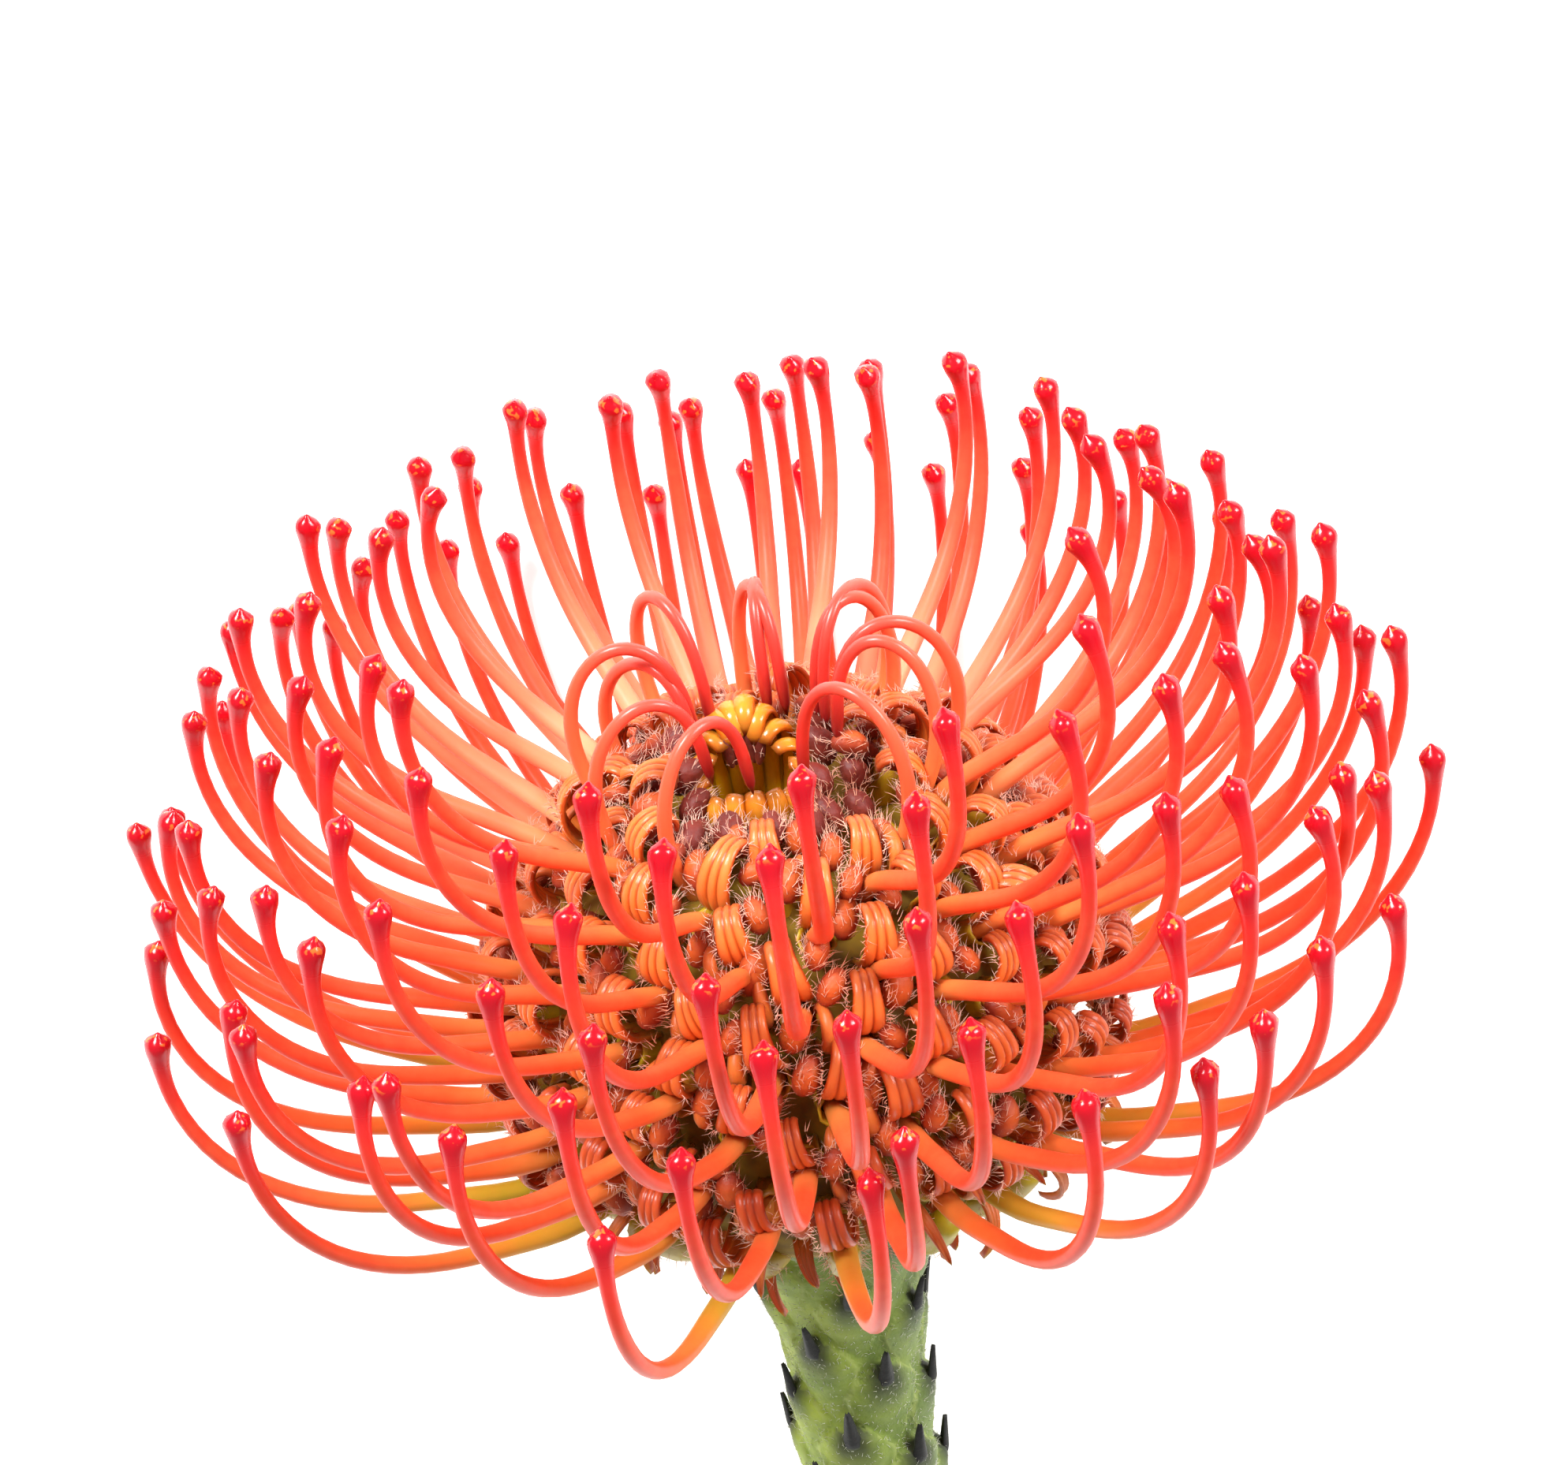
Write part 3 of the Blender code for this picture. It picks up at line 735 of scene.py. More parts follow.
golden = Finish("golden_ribbon", 0.34)
# Painted light and shade: each ribbon is darker in its grooves and lighter on its rib crests, and the
# lower ribbons take a darker gold as painted shade.
shaded_low_gold = golden.ramp("rib", ((0.1, (112, 30, 8)), (0.5, (186, 72, 28)), (1.0, (220, 106, 54))))
high_gold = golden.ramp("rib", ((0.1, (160, 62, 8)), (0.5, (220, 108, 34)), (1.0, (240, 146, 70))))
high_one = golden.ramp("age", ((0.12, 0), (0.55, 1)))
gold = golden.blend(high_one, shaded_low_gold, high_gold)
gold = golden.blend("tone", gold, (232, 100, 36), 0.3)
fibres = golden.noise(700, 4, 0.6)
gold = golden.blend(fibres, gold, (214, 84, 30), 0.3)
foot = golden.ramp("along", ((0.02, (120, 92, 8)), (0.3, (200, 110, 36))))
gold = golden.blend(golden.ramp("along", ((0.14, 0.9), (0.42, 0))), gold, foot)
end_brown = golden.ramp("along", ((0.6, 0), (0.95, 0.7)))
golden.colour(golden.blend(end_brown, gold, (160, 54, 20)))
golden.raise_by(fibres, 0.12, 0.5)
golden.soften(0.25, (1.0, 0.42, 0.1), 1.0)
golden.velvet(0.1, 0.4, (255, 200, 150))
add_piece("curled_ribbons", ribbon_meshes, golden, "florets", "flower_head")

rusty = Finish("rusty_claw", 0.45)
rust_noise = rusty.noise(500, 4, 0.6)
fresh = rusty.ramp("along", ((0.0, (196, 170, 40)), (0.3, (232, 132, 50)), (1.0, (208, 88, 36))))
dry = rusty.ramp("along", ((0.0, (190, 164, 40)), (0.35, (226, 138, 62)), (1.0, (200, 110, 58))))
rust = rusty.blend(rusty.ramp("age", ((0.1, 0), (0.35, 1))), dry, fresh)
# Painted shade: the claws are darker in their grooves, by the rib value.
groove_shade = rusty.ramp("rib", ((0.1, 0.4), (0.5, 0)))
rust = rusty.blend(groove_shade, rust, (130, 50, 16))
rusty.colour(rusty.blend(rust_noise, rust, (168, 66, 22), 0.4))
rusty.raise_by(rust_noise, 0.15, 0.6)
rusty.velvet(0.15, 0.5, (255, 205, 160))
rusty.soften(0.3, (1.0, 0.4, 0.1), 1.0)
add_piece("free_claws", claw_meshes, rusty, "florets")


# Pods. Each curled petal ends in a woolly spoon that held the style's tip while the floret was shut.
# They sit beside the ribbons, red-brown with pinkish hairs, and still shut round the middle.
POD_LENGTH = 1.55  # mm, half of it, and half its depth and how far it bows
POD_DEPTH = 1.02
POD_BOW = 0.25
POD_SEED = 5000
POD_HAIRS = 64
POD_AGES = 0.8  # how much of a ribbon's age shows in its pods


def on_pod(point):
    """Where a point of a unit ball comes on the pod, which lies along Y."""
    deep = point.y * POD_DEPTH - POD_BOW * point.z**2
    return Vector((point.x, point.z * POD_LENGTH, deep)) * MM


bm = bmesh.new()
bmesh.ops.create_uvsphere(bm, u_segments=10, v_segments=7, radius=1.0)
bm.verts.layers.float.new("age")
face_layer = bm.verts.layers.float.new("face")
for vertex in bm.verts:
    vertex.co = on_pod(vertex.co)
    vertex[face_layer] = 0.5 + 0.5 * vertex.co.z / MM
bmesh.ops.recalc_face_normals(bm, faces=bm.faces)
pod_shape = finished(bm)
pod_meshes = []
pod_hairs = []


def add_pod(place, size, age, hairs, draw):
    """A pod in its place, with hairs all over it that lean towards its far end."""
    place = place @ Matrix.Scale(size, 4)
    pod_meshes.append(put(pod_shape, place, age=age))
    for _ in range(hairs):
        spot = on_pod(Vector([draw.gauss(0, 1) for _ in range(3)]).normalized())
        aim = spot.normalized() * 0.7 + Vector((0, 1.0, 0.1))
        aim += Vector([draw.uniform(-0.35, 0.35) for _ in range(3)])
        pod_hairs.append(hair_at(place, spot * 0.97, aim, draw.uniform(0.6, 1.3)))


for number, (place, size, age) in enumerate(pod_places):
    add_pod(place, size, age * POD_AGES, POD_HAIRS, Random(POD_SEED + number))


# Closed florets. Round the apex the last florets are still shut: upright yellow claws that curl over
# at the top as a golden hood, with dark tips hanging from it, between clusters of maroon pods.
PIT_MIDDLE = Vector((-1.6, 0.8, 0)) * MM
CLOSED_UP = 15.6 * MM
CLOSED_POD_SEED = 7000
CLOSED_POD_HAIRS = 60
TALL_CLOSED = 6.5  # mm of straight wall from which a closed floret shows its dark tips
CLOSED_FLORETS = (  # azimuth, mm out, mm straight, degrees curled over
    (62, 4.2, 3.0, 70), (86, 4.1, 3.8, 90), (108, 4.0, 4.8, 120), (130, 3.9, 5.8, 150),
    (151, 3.8, 7.0, 190), (172, 3.8, 7.5, 200), (192, 3.8, 7.4, 205), (212, 3.8, 7.1, 195),
    (234, 3.9, 5.8, 150), (256, 4.0, 4.6, 120), (278, 4.1, 3.6, 90), (300, 4.2, 3.2, 70),
    (321, 4.2, 3.6, 60), (342, 4.2, 4.1, 60), (3, 4.2, 4.2, 60), (24, 4.2, 3.9, 60),
    (43, 4.2, 3.4, 60),
)
CLOSED_PODS = (  # azimuth, mm out, mm up
    (300, 4.9, 19.6), (276, 4.6, 21.2), (252, 5.2, 22.0), (232, 6.4, 21.4), (318, 6.6, 18.6),
    (284, 7.4, 19.2), (72, 5.2, 20.0), (50, 5.8, 19.0), (96, 5.6, 21.4), (118, 6.2, 21.8),
    (34, 7.4, 18.6), (82, 7.8, 19.4), (346, 8.2, 20.4), (8, 8.6, 20.6), (28, 8.4, 20.2),
    (326, 8.6, 19.8), (358, 6.8, 18.6), (62, 8.6, 18.4), (100, 8.6, 19.6), (46, 7.4, 18.9),
    (12, 7.0, 18.8), (338, 7.2, 18.9), (306, 8.0, 18.9), (270, 6.6, 20.0),
)


def standing(azimuth, out, up, size=1.0, middle=PIT_MIDDLE):
    """Placing matrix upright on the head: X across, Y in towards the axis, Z up it."""
    away = outward(azimuth)
    turn = turned_to(UP.cross(away), -away, UP)
    return Matrix.Translation(middle + away * out + UP * up) @ turn @ Matrix.Scale(size, 4)


hood_meshes = []
strip_flat = ribbon_shape(1, (8, 18), (0.9 * MM, 0.3 * MM, 0.3 * MM))
for azimuth, out, straight, turning in CLOSED_FLORETS:
    curve = roll_curve((0, 0), straight, -5, 1.5, 0.1, turning)
    place = standing(radians(azimuth), out * MM, CLOSED_UP)
    hood_meshes.append(rolled(strip_flat, curve, lambda share: 0.82 + 0.24 * sin(pi * share), place))
    draw = Random(azimuth)
    for limb in (-0.5, 0.5) if straight > TALL_CLOSED else ():
        spot = curve[-1] + Vector((limb * 0.75 * MM, 0, -0.5 * MM))
        tilt = Matrix.Rotation(radians(90 + draw.uniform(-15, 15)), 4, "X")
        tilt = Matrix.Rotation(radians(limb * 14), 4, "Y") @ tilt
        narrow = Matrix.Diagonal((0.44, 0.9, 0.36, 1))
        add_pod(place @ Matrix.Translation(spot) @ tilt @ narrow, 1.0, 1.0, 3, draw)

amber = Finish("amber_hood", 0.22, specular=0.55)
# Painted shade: the strips are darker in the grooves between them and lighter on their crests, by the
# rib value.
wall = amber.ramp("rib", ((0.0, (150, 100, 2)), (0.4, (204, 144, 4)), (1.0, (222, 166, 10))))
hood = amber.ramp("rib", ((0.0, (178, 80, 8)), (0.4, (226, 124, 22)), (1.0, (238, 150, 44))))
gilt = amber.blend(amber.ramp("along", ((0.5, 0), (0.68, 1))), wall, hood)
amber.colour(amber.blend(amber.ramp("along", ((0.86, 0), (1.0, 0.9))), gilt, (120, 60, 20)))
amber.raise_by(amber.noise(600, 3), 0.1, 0.4)
amber.soften(0.3, (1.0, 0.6, 0.1), 1.0)
add_piece("amber_hood", hood_meshes, amber, "closed_florets", "closed_florets")

for number, (azimuth, out, up) in enumerate(CLOSED_PODS):
    draw = Random(CLOSED_POD_SEED + number)
    tilt = Matrix.Rotation(random_angle(draw, 40, 80), 4, "X")
    place = standing(radians(azimuth), out * MM, up * MM) @ tilt
    add_pod(place, draw.uniform(1.0, 1.2), 1.0, CLOSED_POD_HAIRS, draw)

maroon = Finish("maroon_pod", 0.55)
# The pod's own red-brown is lighter on its outer face; the dark on its inner side, towards the head, is
# painted shade.
rust_pod = maroon.ramp("face", ((0.1, (84, 18, 6)), (0.55, (140, 44, 16)), (0.95, (204, 94, 26))))
dark_pod = maroon.ramp("face", ((0.1, (58, 8, 14)), (1.0, (100, 22, 24))))
shut = maroon.ramp("age", ((0.84, 0), (0.97, 1)))
pod_colour = maroon.blend(shut, rust_pod, dark_pod)
pod_noise = maroon.noise(800, 3)
maroon.colour(maroon.blend(pod_noise, pod_colour, (186, 72, 34), 0.35))
maroon.raise_by(pod_noise, 0.3, 0.8)
maroon.velvet(0.2, 0.4, (255, 150, 120))
maroon.soften(0.3, (1.0, 0.35, 0.12), 1.0)
add_piece("woolly_pods", pod_meshes, maroon, "closed_florets", "closed_florets")


# Long hairs. Fine pinkish-white hairs grow out of the skin along the edges of the ribbons and all
# over the pods. Each is one springy hair, thick at its root, with a lean of its own.
LONG_HAIR_RADIUS = 0.036 * MM
LONG_HAIR_SEED = 60


def hair_shapes(radius, leans):
    """Three-sided hairs of 1 mm standing on Z, each with a lean of its own."""
    shapes = []
    for lean in leans:
        mesh = turned([(radius, 0), (radius * 0.7, 0.5 * MM), (0, 1.0 * MM)], 3)
        for vertex in mesh.vertices:
            vertex.co.x += lean * vertex.co.z * vertex.co.z / MM
        shapes.append(mesh)
    return shapes


def grown(shapes, roots, seed):
    """Copies of the hairs, one at each (root, direction, length), turned freely."""
    draw = Random(seed)
    hairs = []
    for root, direction, length in roots:
        turn = direction.to_track_quat("Z", "Y").to_matrix().to_4x4()
        spin = Matrix.Rotation(draw.uniform(0, 2 * pi), 4, "Z")
        stretch = Matrix.Diagonal((1, 1, length, 1))
        hairs.append(put(draw.choice(shapes), Matrix.Translation(root) @ turn @ spin @ stretch))
    return hairs


long_hairs = hair_shapes(LONG_HAIR_RADIUS, (0.2, 0.5, 0.8))
pale = Finish("pale_hair", 0.5)
pale.colour(pale.ramp(pale.noise(120, 2), ((0.35, (236, 150, 114)), (0.65, (252, 208, 182)))))
pale.soften(0.3, (1.0, 0.6, 0.4), 0.5)
for name, roots in (("ribbon_hairs", ribbon_hairs), ("pod_hairs", pod_hairs)):
    add_piece(name, grown(long_hairs, roots, LONG_HAIR_SEED), pale, "florets")


# Looped styles. The innermost opened florets still have their tips held by the closed ones, so each
# style stands out as a springy loop over the middle of the head.
LOOPS = 12
LOOP_FRONT_GAP = radians(48)
LOOP_SEED = 51
LOOP_ROOT_POLAR = (radians(31), radians(37))
LOOP_TIP_OUT = 5.4 * MM
LOOP_TIP_UP = 24.6 * MM
LOOP_RISE = (9.0 * MM, 13.0 * MM)
LOOP_RINGS = 30
LOOP_SIDES = 10
LOOP_STEPS = 40
LOOP_RADIUS = ((0.0, 0.60), (0.5, 0.49), (0.85, 0.47), (0.93, 0.48), (0.97, 0.38), (1.0, 0.0))


def loop_path(number):
    """Centreline of a looped style, arching in over the closed florets."""
    draw = Random(LOOP_SEED + number)
    share = number / (LOOPS - 1)
    azimuth = LOOP_FRONT_GAP + share * (2 * pi - 2 * LOOP_FRONT_GAP)
    azimuth += random_angle(draw, -8, 8)
    polar = mix(LOOP_ROOT_POLAR, draw.random())
    root = on_ball(polar, azimuth, STYLE_ROOT)
    leaving = on_ball(polar, azimuth, 1.0)
    tip = outward(azimuth + random_angle(draw, -25, 25)) * LOOP_TIP_OUT + UP * LOOP_TIP_UP
    rise = mix(LOOP_RISE, draw.random())
    handles = (root, root + leaving * rise * 1.35, tip + UP * rise + leaving * 2 * MM, tip)
    points = []
    for step in range(LOOP_STEPS + 1):
        t = step / LOOP_STEPS
        weights = ((1 - t) ** 3, 3 * t * (1 - t) ** 2, 3 * t * t * (1 - t), t**3)
        points.append(sum((h * w for h, w in zip(handles, weights)), Vector()))
    return points


loop_shares = [ring / LOOP_RINGS for ring in range(LOOP_RINGS + 1)]
loop_radii = [from_table(LOOP_RADIUS, share) for share in loop_shares]
loop_shape = turned(ringed(loop_radii), LOOP_SIDES, ("along",))
loop_meshes = []
for number in range(LOOPS):
    path = loop_path(number)
    path += [path[-1] + (path[-1] - path[-2]) * step for step in range(1, 4)]
    loop_meshes.append(bent(loop_shape, path, across, loop_shares, along=loop_shares))

salmon = Finish("salmon_loop", 0.3)
reddening = ((0.0, (230, 150, 80)), (0.2, (244, 110, 66)), (0.6, (236, 84, 66)))
reddening = (*reddening, (0.88, (216, 56, 46)), (0.98, (130, 20, 22)))
salmon.colour(salmon.ramp("along", reddening))
salmon.soften(0.3, (1.0, 0.28, 0.12), 1.0)
add_piece("looped_styles", loop_meshes, salmon, "florets", "flower_head")


# Under the head. The lowest florets leave broad yellow-green tubes that spread from the neck, and
# their spent claws hang down round it, drying to brown.
LOW_TUBES = 16
LOW_TUBE_PATH = ((10.5, -14.3), (13.2, -13.9), (16.5, -12.2), (19.4, -9.0), (20.6, -7.4))  # out, up, mm
LOW_TUBE_SHARES = (0.0, 0.02, 0.2, 0.4, 0.55, 0.7, 0.85, 0.98, 1.0)
LOW_TUBE_RADIUS = (0.0, 0.9, 1.15, 1.3, 1.25, 1.3, 1.2, 1.05, 0.0)  # mm at each of those shares
LOW_TUBE_SIDES = 10
LOW_TUBE_SEED = 800
LOW_TUBE_HAIRS = 70
HANGING_CLAWS = 44
HANGING_FOOT = 19.5 * MM
HANGING_SEED = 900
HANGING_CLAW_HAIRS = 40
HANGING_HAIR_SEED = 61
low_tube_shape = turned(ringed(LOW_TUBE_RADIUS), LOW_TUBE_SIDES, ("tone",))
low_meshes = []
low_hairs = []
for number in range(LOW_TUBES):
    draw = Random(LOW_TUBE_SEED + number)
    out = outward(2 * pi * number / LOW_TUBES)
    path = [out * away * MM + UP * up * MM for away, up in LOW_TUBE_PATH]
    mesh = bent(low_tube_shape, path, UP.cross(out), LOW_TUBE_SHARES)
    low_meshes.append(filled(mesh, tone=draw.random() * 0.25))
    for _ in range(LOW_TUBE_HAIRS):
        spot = at_share(path, draw.uniform(0.1, 0.95))
        off = (UP * draw.uniform(-1, 0.6) + UP.cross(out) * draw.uniform(-1, 1)).normalized()
        aim = (off + out * draw.uniform(0, 1.2)).normalized()
        low_hairs.append((spot + off * 1.2 * MM, aim, draw.uniform(0.6, 1.3)))
add_piece("low_tubes", low_meshes, sap, "florets")

hanging_meshes = []
hanging_hairs = []
for number in range(HANGING_CLAWS):
    draw = Random(HANGING_SEED + number)
    azimuth = 2 * pi * (number + draw.uniform(0.1, 0.9)) / HANGING_CLAWS
    curve = roll_curve(
        (0, FOOT_SUNK),
        draw.uniform(2.0, 4.0),
        draw.uniform(-10, 15),
        draw.uniform(2.6, 4.2),
        draw.uniform(-0.3, 0.2),
        -draw.uniform(35, 85),
    )
    polar = radians((116, 130)[number % 2] + draw.uniform(-5, 5))
    shape, wide = ((ribbon_flat, 0.72), (claw_flat, 1.2))[number % 2]
    place = on_head(polar, azimuth, HANGING_FOOT, random_angle(draw, -25, 25), draw.uniform(0.85, 1.1))
    for _ in range(HANGING_CLAW_HAIRS):
        step = draw.randrange(4, 38)
        edge = draw.choice((-1, 1))
        aside = edge * wide * 0.5 * MM * (1 - step / ROLL_STEPS) ** 0.5
        leans = ((0.2, 1), (0.2, 1.0), (0.6, -0.6))
        hanging_hairs.append(edge_hair(draw, place, curve, step, aside, *leans, 0.9))
    aside, tone, age = draw.uniform(-1.0, 1.0) * MM, draw.random(), draw.uniform(0.15, 0.5)
    mesh = rolled(
        shape, curve, lambda share: wide * (1 - share) ** 0.5 + 0.05, place, aside, tone=tone, age=age
    )
    hanging_meshes.append(mesh)
add_piece("hanging_claws", hanging_meshes, rusty, "florets")
hanging_hairs = grown(long_hairs, hanging_hairs + low_hairs, HANGING_HAIR_SEED)
add_piece("hanging_hairs", hanging_hairs, pale, "florets")


# Collar. Three rows of short woolly green bracts, grown out of the neck, clasp it where the head
# meets the stem. Under them lies the neck itself, and white down covers them.
BRACT_ROWS = (  # count, mm out, mm up, mm long, lean in degrees
    (13, 7.3, -19.0, 5.0, -24),
    (13, 8.3, -17.2, 4.2, -34),
    (16, 9.0, -15.6, 3.2, -44),
)
BRACT_SEED = 1000
BRACT_HAIRS = 60
BRACT_TAPER = 2.2
NECK_OUTLINE = ((0, -17.9), (7.2, -17.9), (8.6, -16.2), (9.6, -14.9), (0, -14.6))  # out, up, mm
NECK_SIDES = 32
COLLAR_HAIR_SEED = 70
bract_flat = ribbon_shape(1, (6, 8), (2.5 * MM, 0.4 * MM, 0.5 * MM))
bract_meshes = []
collar_hairs = []


def bract_width(share):
    return (1 - share**BRACT_TAPER) * (0.8 + 0.2 * sin(pi * share)) + 0.02


for row, (count, out, up, length, lean) in enumerate(BRACT_ROWS):
    for number in range(count):
        draw = Random(BRACT_SEED + 40 * row + number)
        azimuth = 2 * pi * (number + 0.5 * row + draw.uniform(-0.15, 0.15)) / count
        curve = roll_curve((0, 0), 1.0, lean, length, 0.0, 42)
        place = standing(azimuth, out * MM, up * MM, draw.uniform(0.9, 1.1), Vector())
        bract_meshes.append(rolled(bract_flat, curve, bract_width, place, tone=draw.random()))
        for _ in range(BRACT_HAIRS):
            step = draw.randrange(8, ROLL_STEPS)
            spot = curve[step]
            wide = draw.uniform(-1, 1)
            aside = wide * 2.4 * MM * (1 - (step / ROLL_STEPS) ** BRACT_TAPER)
            root = Vector((aside, spot.y - 0.35 * MM * (1 - abs(wide)), spot.z))
            aim = Vector((wide * 0.8, draw.uniform(-1.0, -0.2), draw.uniform(0.3, 1.1)))
            collar_hairs.append(hair_at(place, root, aim, draw.uniform(0.5, 1.1)))

downy = Finish("downy_bract", 0.8)
down_tip = downy.ramp("along", ((0.55, 0), (0.95, 0.8)))
down_noise = downy.noise(500, 4)
bract_green = downy.ramp(down_noise, ((0.3, (84, 102, 46)), (0.7, (136, 150, 80))))
downy.colour(downy.blend(down_tip, bract_green, (84, 82, 70)))
downy.raise_by(down_noise, 0.2, 0.6)
downy.velvet(0.3, 0.5, (225, 235, 200))
add_piece("neck_bracts", bract_meshes, downy, "woolly_bracts", "bract_collar")
neck_mesh = turned(in_metres(NECK_OUTLINE), NECK_SIDES)
add_piece("neck_core", [neck_mesh], downy, "woolly_bracts", "bract_collar")


# Stem. A woody green shoot, cut square, closely covered with the swollen feet of pointed scale
# bracts in spirals. Each foot is a green cushion that ends in a small dark tip pointing up.
STEM_TOP = -17.9 * MM
STEM_RADIUS = (6.9 * MM, 5.3 * MM)
NARROWING = 16.0 * MM
STEM_SWAY = -0.3 * MM
STEM_PRESSED = 0.2 * MM
SCALE_SPACING = 6.1 * MM
SCALE_MARGINS = (7.4 * MM, 2.6 * MM)
SCALE_SEED = 9
STEM_RINGS = 150
STEM_COLUMNS = 120
STEM_HAIRS = 6500
STEM_HAIR_SEED = 71
SHORT_HAIR_RADIUS = 0.026 * MM
MOUND_REACH = (-6.4, 2.8)  # mm above the middle of a scale's swollen foot
MOUND_WIDTHS = (  # mm above that middle, half width in mm
    (-6.4, 0.3), (-4.0, 1.7), (-2.0, 2.9), (-0.5, 3.3), (0.8, 2.7), (1.6, 1.6), (2.3, 0.7),
    (2.8, 0.4),
)
MOUND_HEIGHTS = (  # mm above that middle, height in mm
    (-6.4, -0.1), (-4.0, 0.15), (-2.0, 0.5), (-0.3, 0.78), (0.8, 0.9), (1.5, 0.86), (2.3, 0.3),
    (2.8, -0.1),
)
BETWEEN_MOUNDS = -0.1  # mm
SPUR_WIDTHS = (  # share of its length, half width in mm
    (0.0, 1.25), (0.18, 1.0), (0.36, 0.6), (0.6, 0.42), (0.85, 0.28), (1.0, 0.08),
)
foot_height = STEM_RADIUS[1] * cos(LEAN) - STEM_PRESSED
stem_length = (head_middle.z - foot_height) / sin(LEAN) + STEM_TOP


def stem_radius(down):
    return mix(STEM_RADIUS, smooth_step(down / NARROWING))


def stem_middle(down):
    sway = STEM_SWAY * sin(pi * down / stem_length)
    return Vector((sway, 0, STEM_TOP - down))


scaly_area = (stem_length - sum(SCALE_MARGINS)) * 2 * pi * STEM_RADIUS[1]
scale_count = round(scaly_area / SCALE_SPACING**2)
draw = Random(SCALE_SEED)
mounds = []  # azimuth, distance down the stem, size and tone of each scale
for number in range(-5, scale_count):
    down = mix((SCALE_MARGINS[0], stem_length - SCALE_MARGINS[1]), number / (scale_count - 1))
    mounds.append((number * GOLDEN_ANGLE, down, draw.uniform(0.9, 1.1), draw.random()))


def bark(azimuth, down):
    """Height of the bark, nearness to the middle of its scale, how dark it is, and the scale's tone."""
    radius = stem_radius(max(0.0, down))
    best = (BETWEEN_MOUNDS, 0.4, 0.3, 0.5)
    for middle, at, size, tone in mounds:
        up = (at - down) / MM / size
        if not MOUND_REACH[0] < up < MOUND_REACH[1]:
            continue
        round_it = abs((azimuth - middle + pi) % (2 * pi) - pi)
        sideways = round_it * radius / MM / size
        wide = sideways / from_table(MOUND_WIDTHS, up)
        if wide < 1:
            above = from_table(MOUND_HEIGHTS, up) * size - BETWEEN_MOUNDS
            height = BETWEEN_MOUNDS + above * (1 - wide**2.4)
            height += 0.15 * exp(-(((wide - 0.86) / 0.07) ** 2)) * smooth_step((up + 6) / 3)
            dark = smooth_step((up + 3.4) / 4.6) * smooth_step(1.3 - sideways / 1.9)
            if height > best[0]:
                best = (height, 1 - wide, 0.35 + 0.42 * dark, tone)
    return best


def on_stem(azimuth, down, height):
    """A point at a height out of the smooth stem."""
    return stem_middle(down) + outward(azimuth) * (stem_radius(max(0.0, down)) + height * MM)


stem_outline = [(1, -stem_length * ring / STEM_RINGS) for ring in range(STEM_RINGS + 1)]
stem_outline = [(0, 0), *stem_outline, (0, -stem_length)]
stem_mesh = turned(stem_outline, STEM_COLUMNS, ("rib", "along", "tone"))
bark_values = [stem_mesh.attributes[name].data for name in ("rib", "along", "tone")]
for number, vertex in enumerate(stem_mesh.vertices):
    down = -vertex.co.z
    if hypot(vertex.co.x, vertex.co.y) < 0.5:
        vertex.co = stem_middle(down)
        continue
    azimuth = atan2(vertex.co.x, -vertex.co.y)
    height, *values = bark(azimuth, down)
    vertex.co = on_stem(azimuth, down, height)
    for data, value in zip(bark_values, values):
        data[number].value = value

spur_flat = ribbon_shape(1, (8, 12), (1.0, 0.3 * MM, 0.0))
scale_meshes = []
for azimuth, down, size, tone in mounds:
    mesh = spur_flat.copy()
    for vertex in mesh.vertices:
        share = vertex.co.y
        sideways = vertex.co.x * from_table(SPUR_WIDTHS, min(1, max(0, share))) * size
        out = 0.3 + 0.72 * smooth_step(share / 0.32) + 0.28 * share
        out = (out - 0.55 * vertex.co.x**2 * (1 - 0.5 * share)) * size
        spot = down - (-0.3 + 4.9 * share) * size * MM
        turned_by = sideways * MM / stem_radius(max(0.0, spot))
        vertex.co = on_stem(azimuth + turned_by, spot, out + vertex.co.z / MM * (1 - 0.75 * share))
    for ring, share in zip(mesh.attributes["along"].data, spur_flat.attributes["along"].data):
        ring.value = 0.66 + 0.34 * smooth_step((share.value - 0.06) / 0.5)
    scale_meshes.append(filled(mesh, tone=tone))

stem_hairs = []
for _ in range(STEM_HAIRS):
    azimuth, down = draw.uniform(0, 2 * pi), draw.uniform(0.2 * MM, stem_length - 0.2 * MM)
    height = bark(azimuth, down)[0]
    root = on_stem(azimuth, down, height)
    tip = on_stem(azimuth + draw.uniform(-0.05, 0.05), down - 0.4 * MM, height + draw.uniform(0.1, 0.4))
    stem_hairs.append((root, (tip - root).normalized(), draw.uniform(0.25, 0.5)))

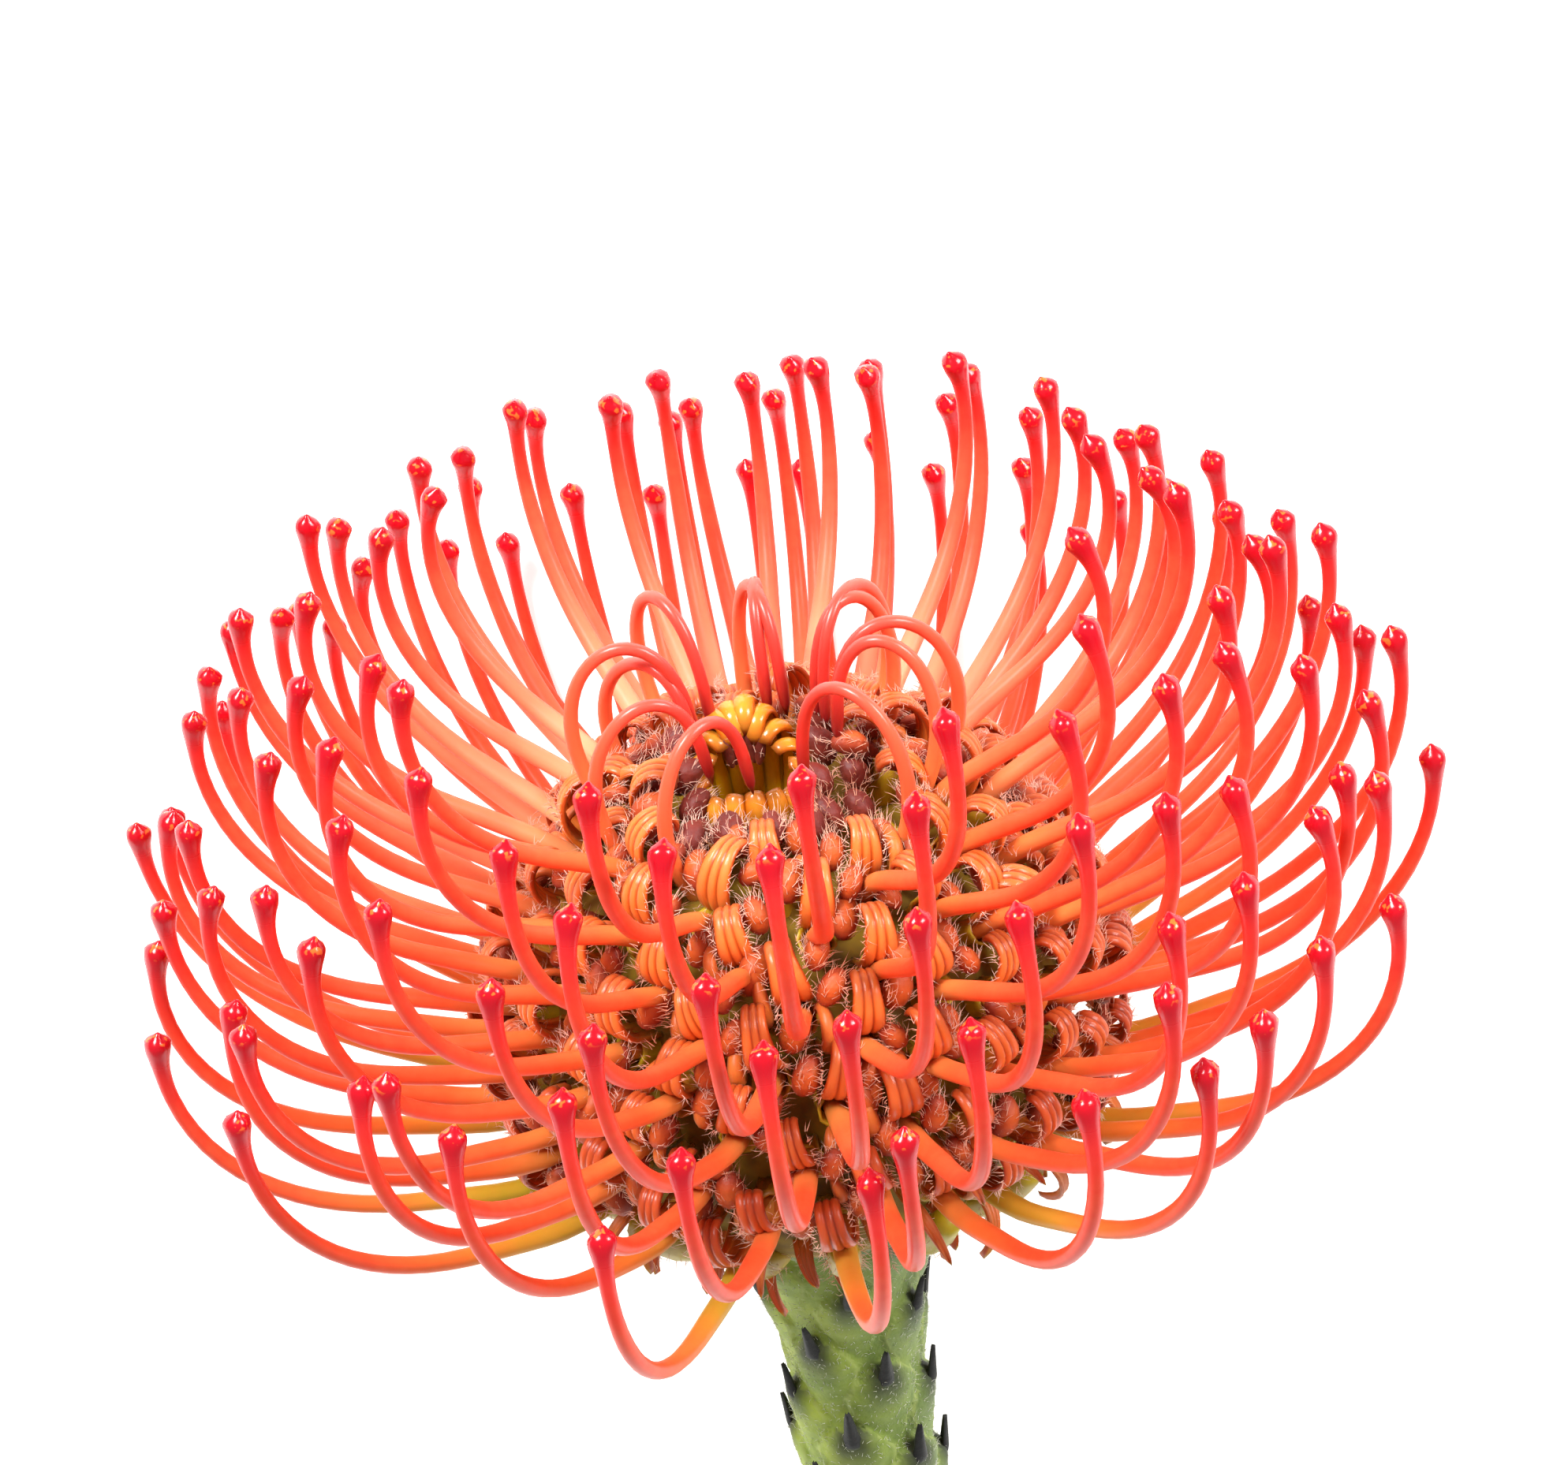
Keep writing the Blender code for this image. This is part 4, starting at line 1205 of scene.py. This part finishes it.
green = Finish("green_scale", 0.62)
green_noise = green.noise(330, 4, 0.6)
sunny = green.ramp(green_noise, ((0.3, (126, 154, 16)), (0.7, (190, 208, 52))))
shady = green.ramp(green_noise, ((0.3, (72, 96, 36)), (0.7, (116, 138, 62))))
sides = green.nodes.new("ShaderNodeSeparateXYZ")
green.link(green.place((90, 90, 90), shift=(0.45, 0, 0)), sides.inputs["Vector"])
skin = green.blend(sides.outputs["X"], sunny, shady)
skin = green.blend("tone", skin, (104, 132, 36), 0.35)
margin = green.ramp("rib", ((0.06, 0), (0.12, 0.55), (0.22, 0)))
skin = green.blend(margin, skin, (176, 190, 100))
dark_tip = green.ramp(
    green.combine("ADD", "along", green.combine("MULTIPLY", green_noise, 0.12)),
    ((0.45, 0), (0.72, 0.5), (0.88, 1)),
)
fine = green.noise(2600, 3)
skin = green.blend(fine, skin, (180, 190, 140), 0.25)
green.colour(green.blend(dark_tip, skin, (22, 20, 22)))
green.raise_by(fine, 0.12, 0.5)
green.velvet(0.07, 0.5, (225, 240, 200))
add_piece("stem_bark", [stem_mesh], green, "stem", "stem")
add_piece("stem_scales", scale_meshes, green, "stem", "stem")

white_hair = Finish("white_hair", 0.55)
hair_whites = ((0.3, (214, 218, 190)), (0.7, (240, 240, 226)))
white_hair.colour(white_hair.ramp(white_hair.noise(90, 2), hair_whites))
short_hairs = hair_shapes(SHORT_HAIR_RADIUS, (0.15, 0.4))
collar_hairs = grown(short_hairs, collar_hairs, COLLAR_HAIR_SEED)
add_piece("collar_hairs", collar_hairs, white_hair, "woolly_bracts")
add_piece("stem_hairs", grown(short_hairs, stem_hairs, STEM_HAIR_SEED), white_hair, "stem")


# The cut. Across the foot of the stem, where it was cut square with a knife: a thin green rim, pale
# fibrous wood and a soft cream pith.
CUT_RINGS = (0.0, 0.22, 0.5, 0.8, 0.93, 1.0)
CUT_SIDES = 40
cut_outline = [(ring, -0.02 * MM * (1 - ring)) for ring in CUT_RINGS]
cut_mesh = turned(cut_outline, CUT_SIDES, ("out",))
for vertex, out in zip(cut_mesh.vertices, cut_mesh.attributes["out"].data):
    share = hypot(vertex.co.x, vertex.co.y)
    out.value = share
    flat = Vector((vertex.co.x, vertex.co.y, 0)) * (stem_radius(stem_length) - 0.3 * MM)
    vertex.co = stem_middle(stem_length) + flat + UP * (vertex.co.z - 0.04 * MM)
pith = Finish("pale_pith", 0.7)
grain = pith.noise(1500, 4)
rings = ((0.15, (236, 228, 190)), (0.35, (206, 204, 140)), (0.85, (182, 190, 108)))
rings = pith.ramp("out", (*rings, (0.97, (96, 122, 50))))
pith.colour(pith.blend(grain, rings, (160, 150, 96), 0.4))
pith.raise_by(grain, 0.15, 0.6)
add_piece("stem_cut", [cut_mesh], pith, "stem")
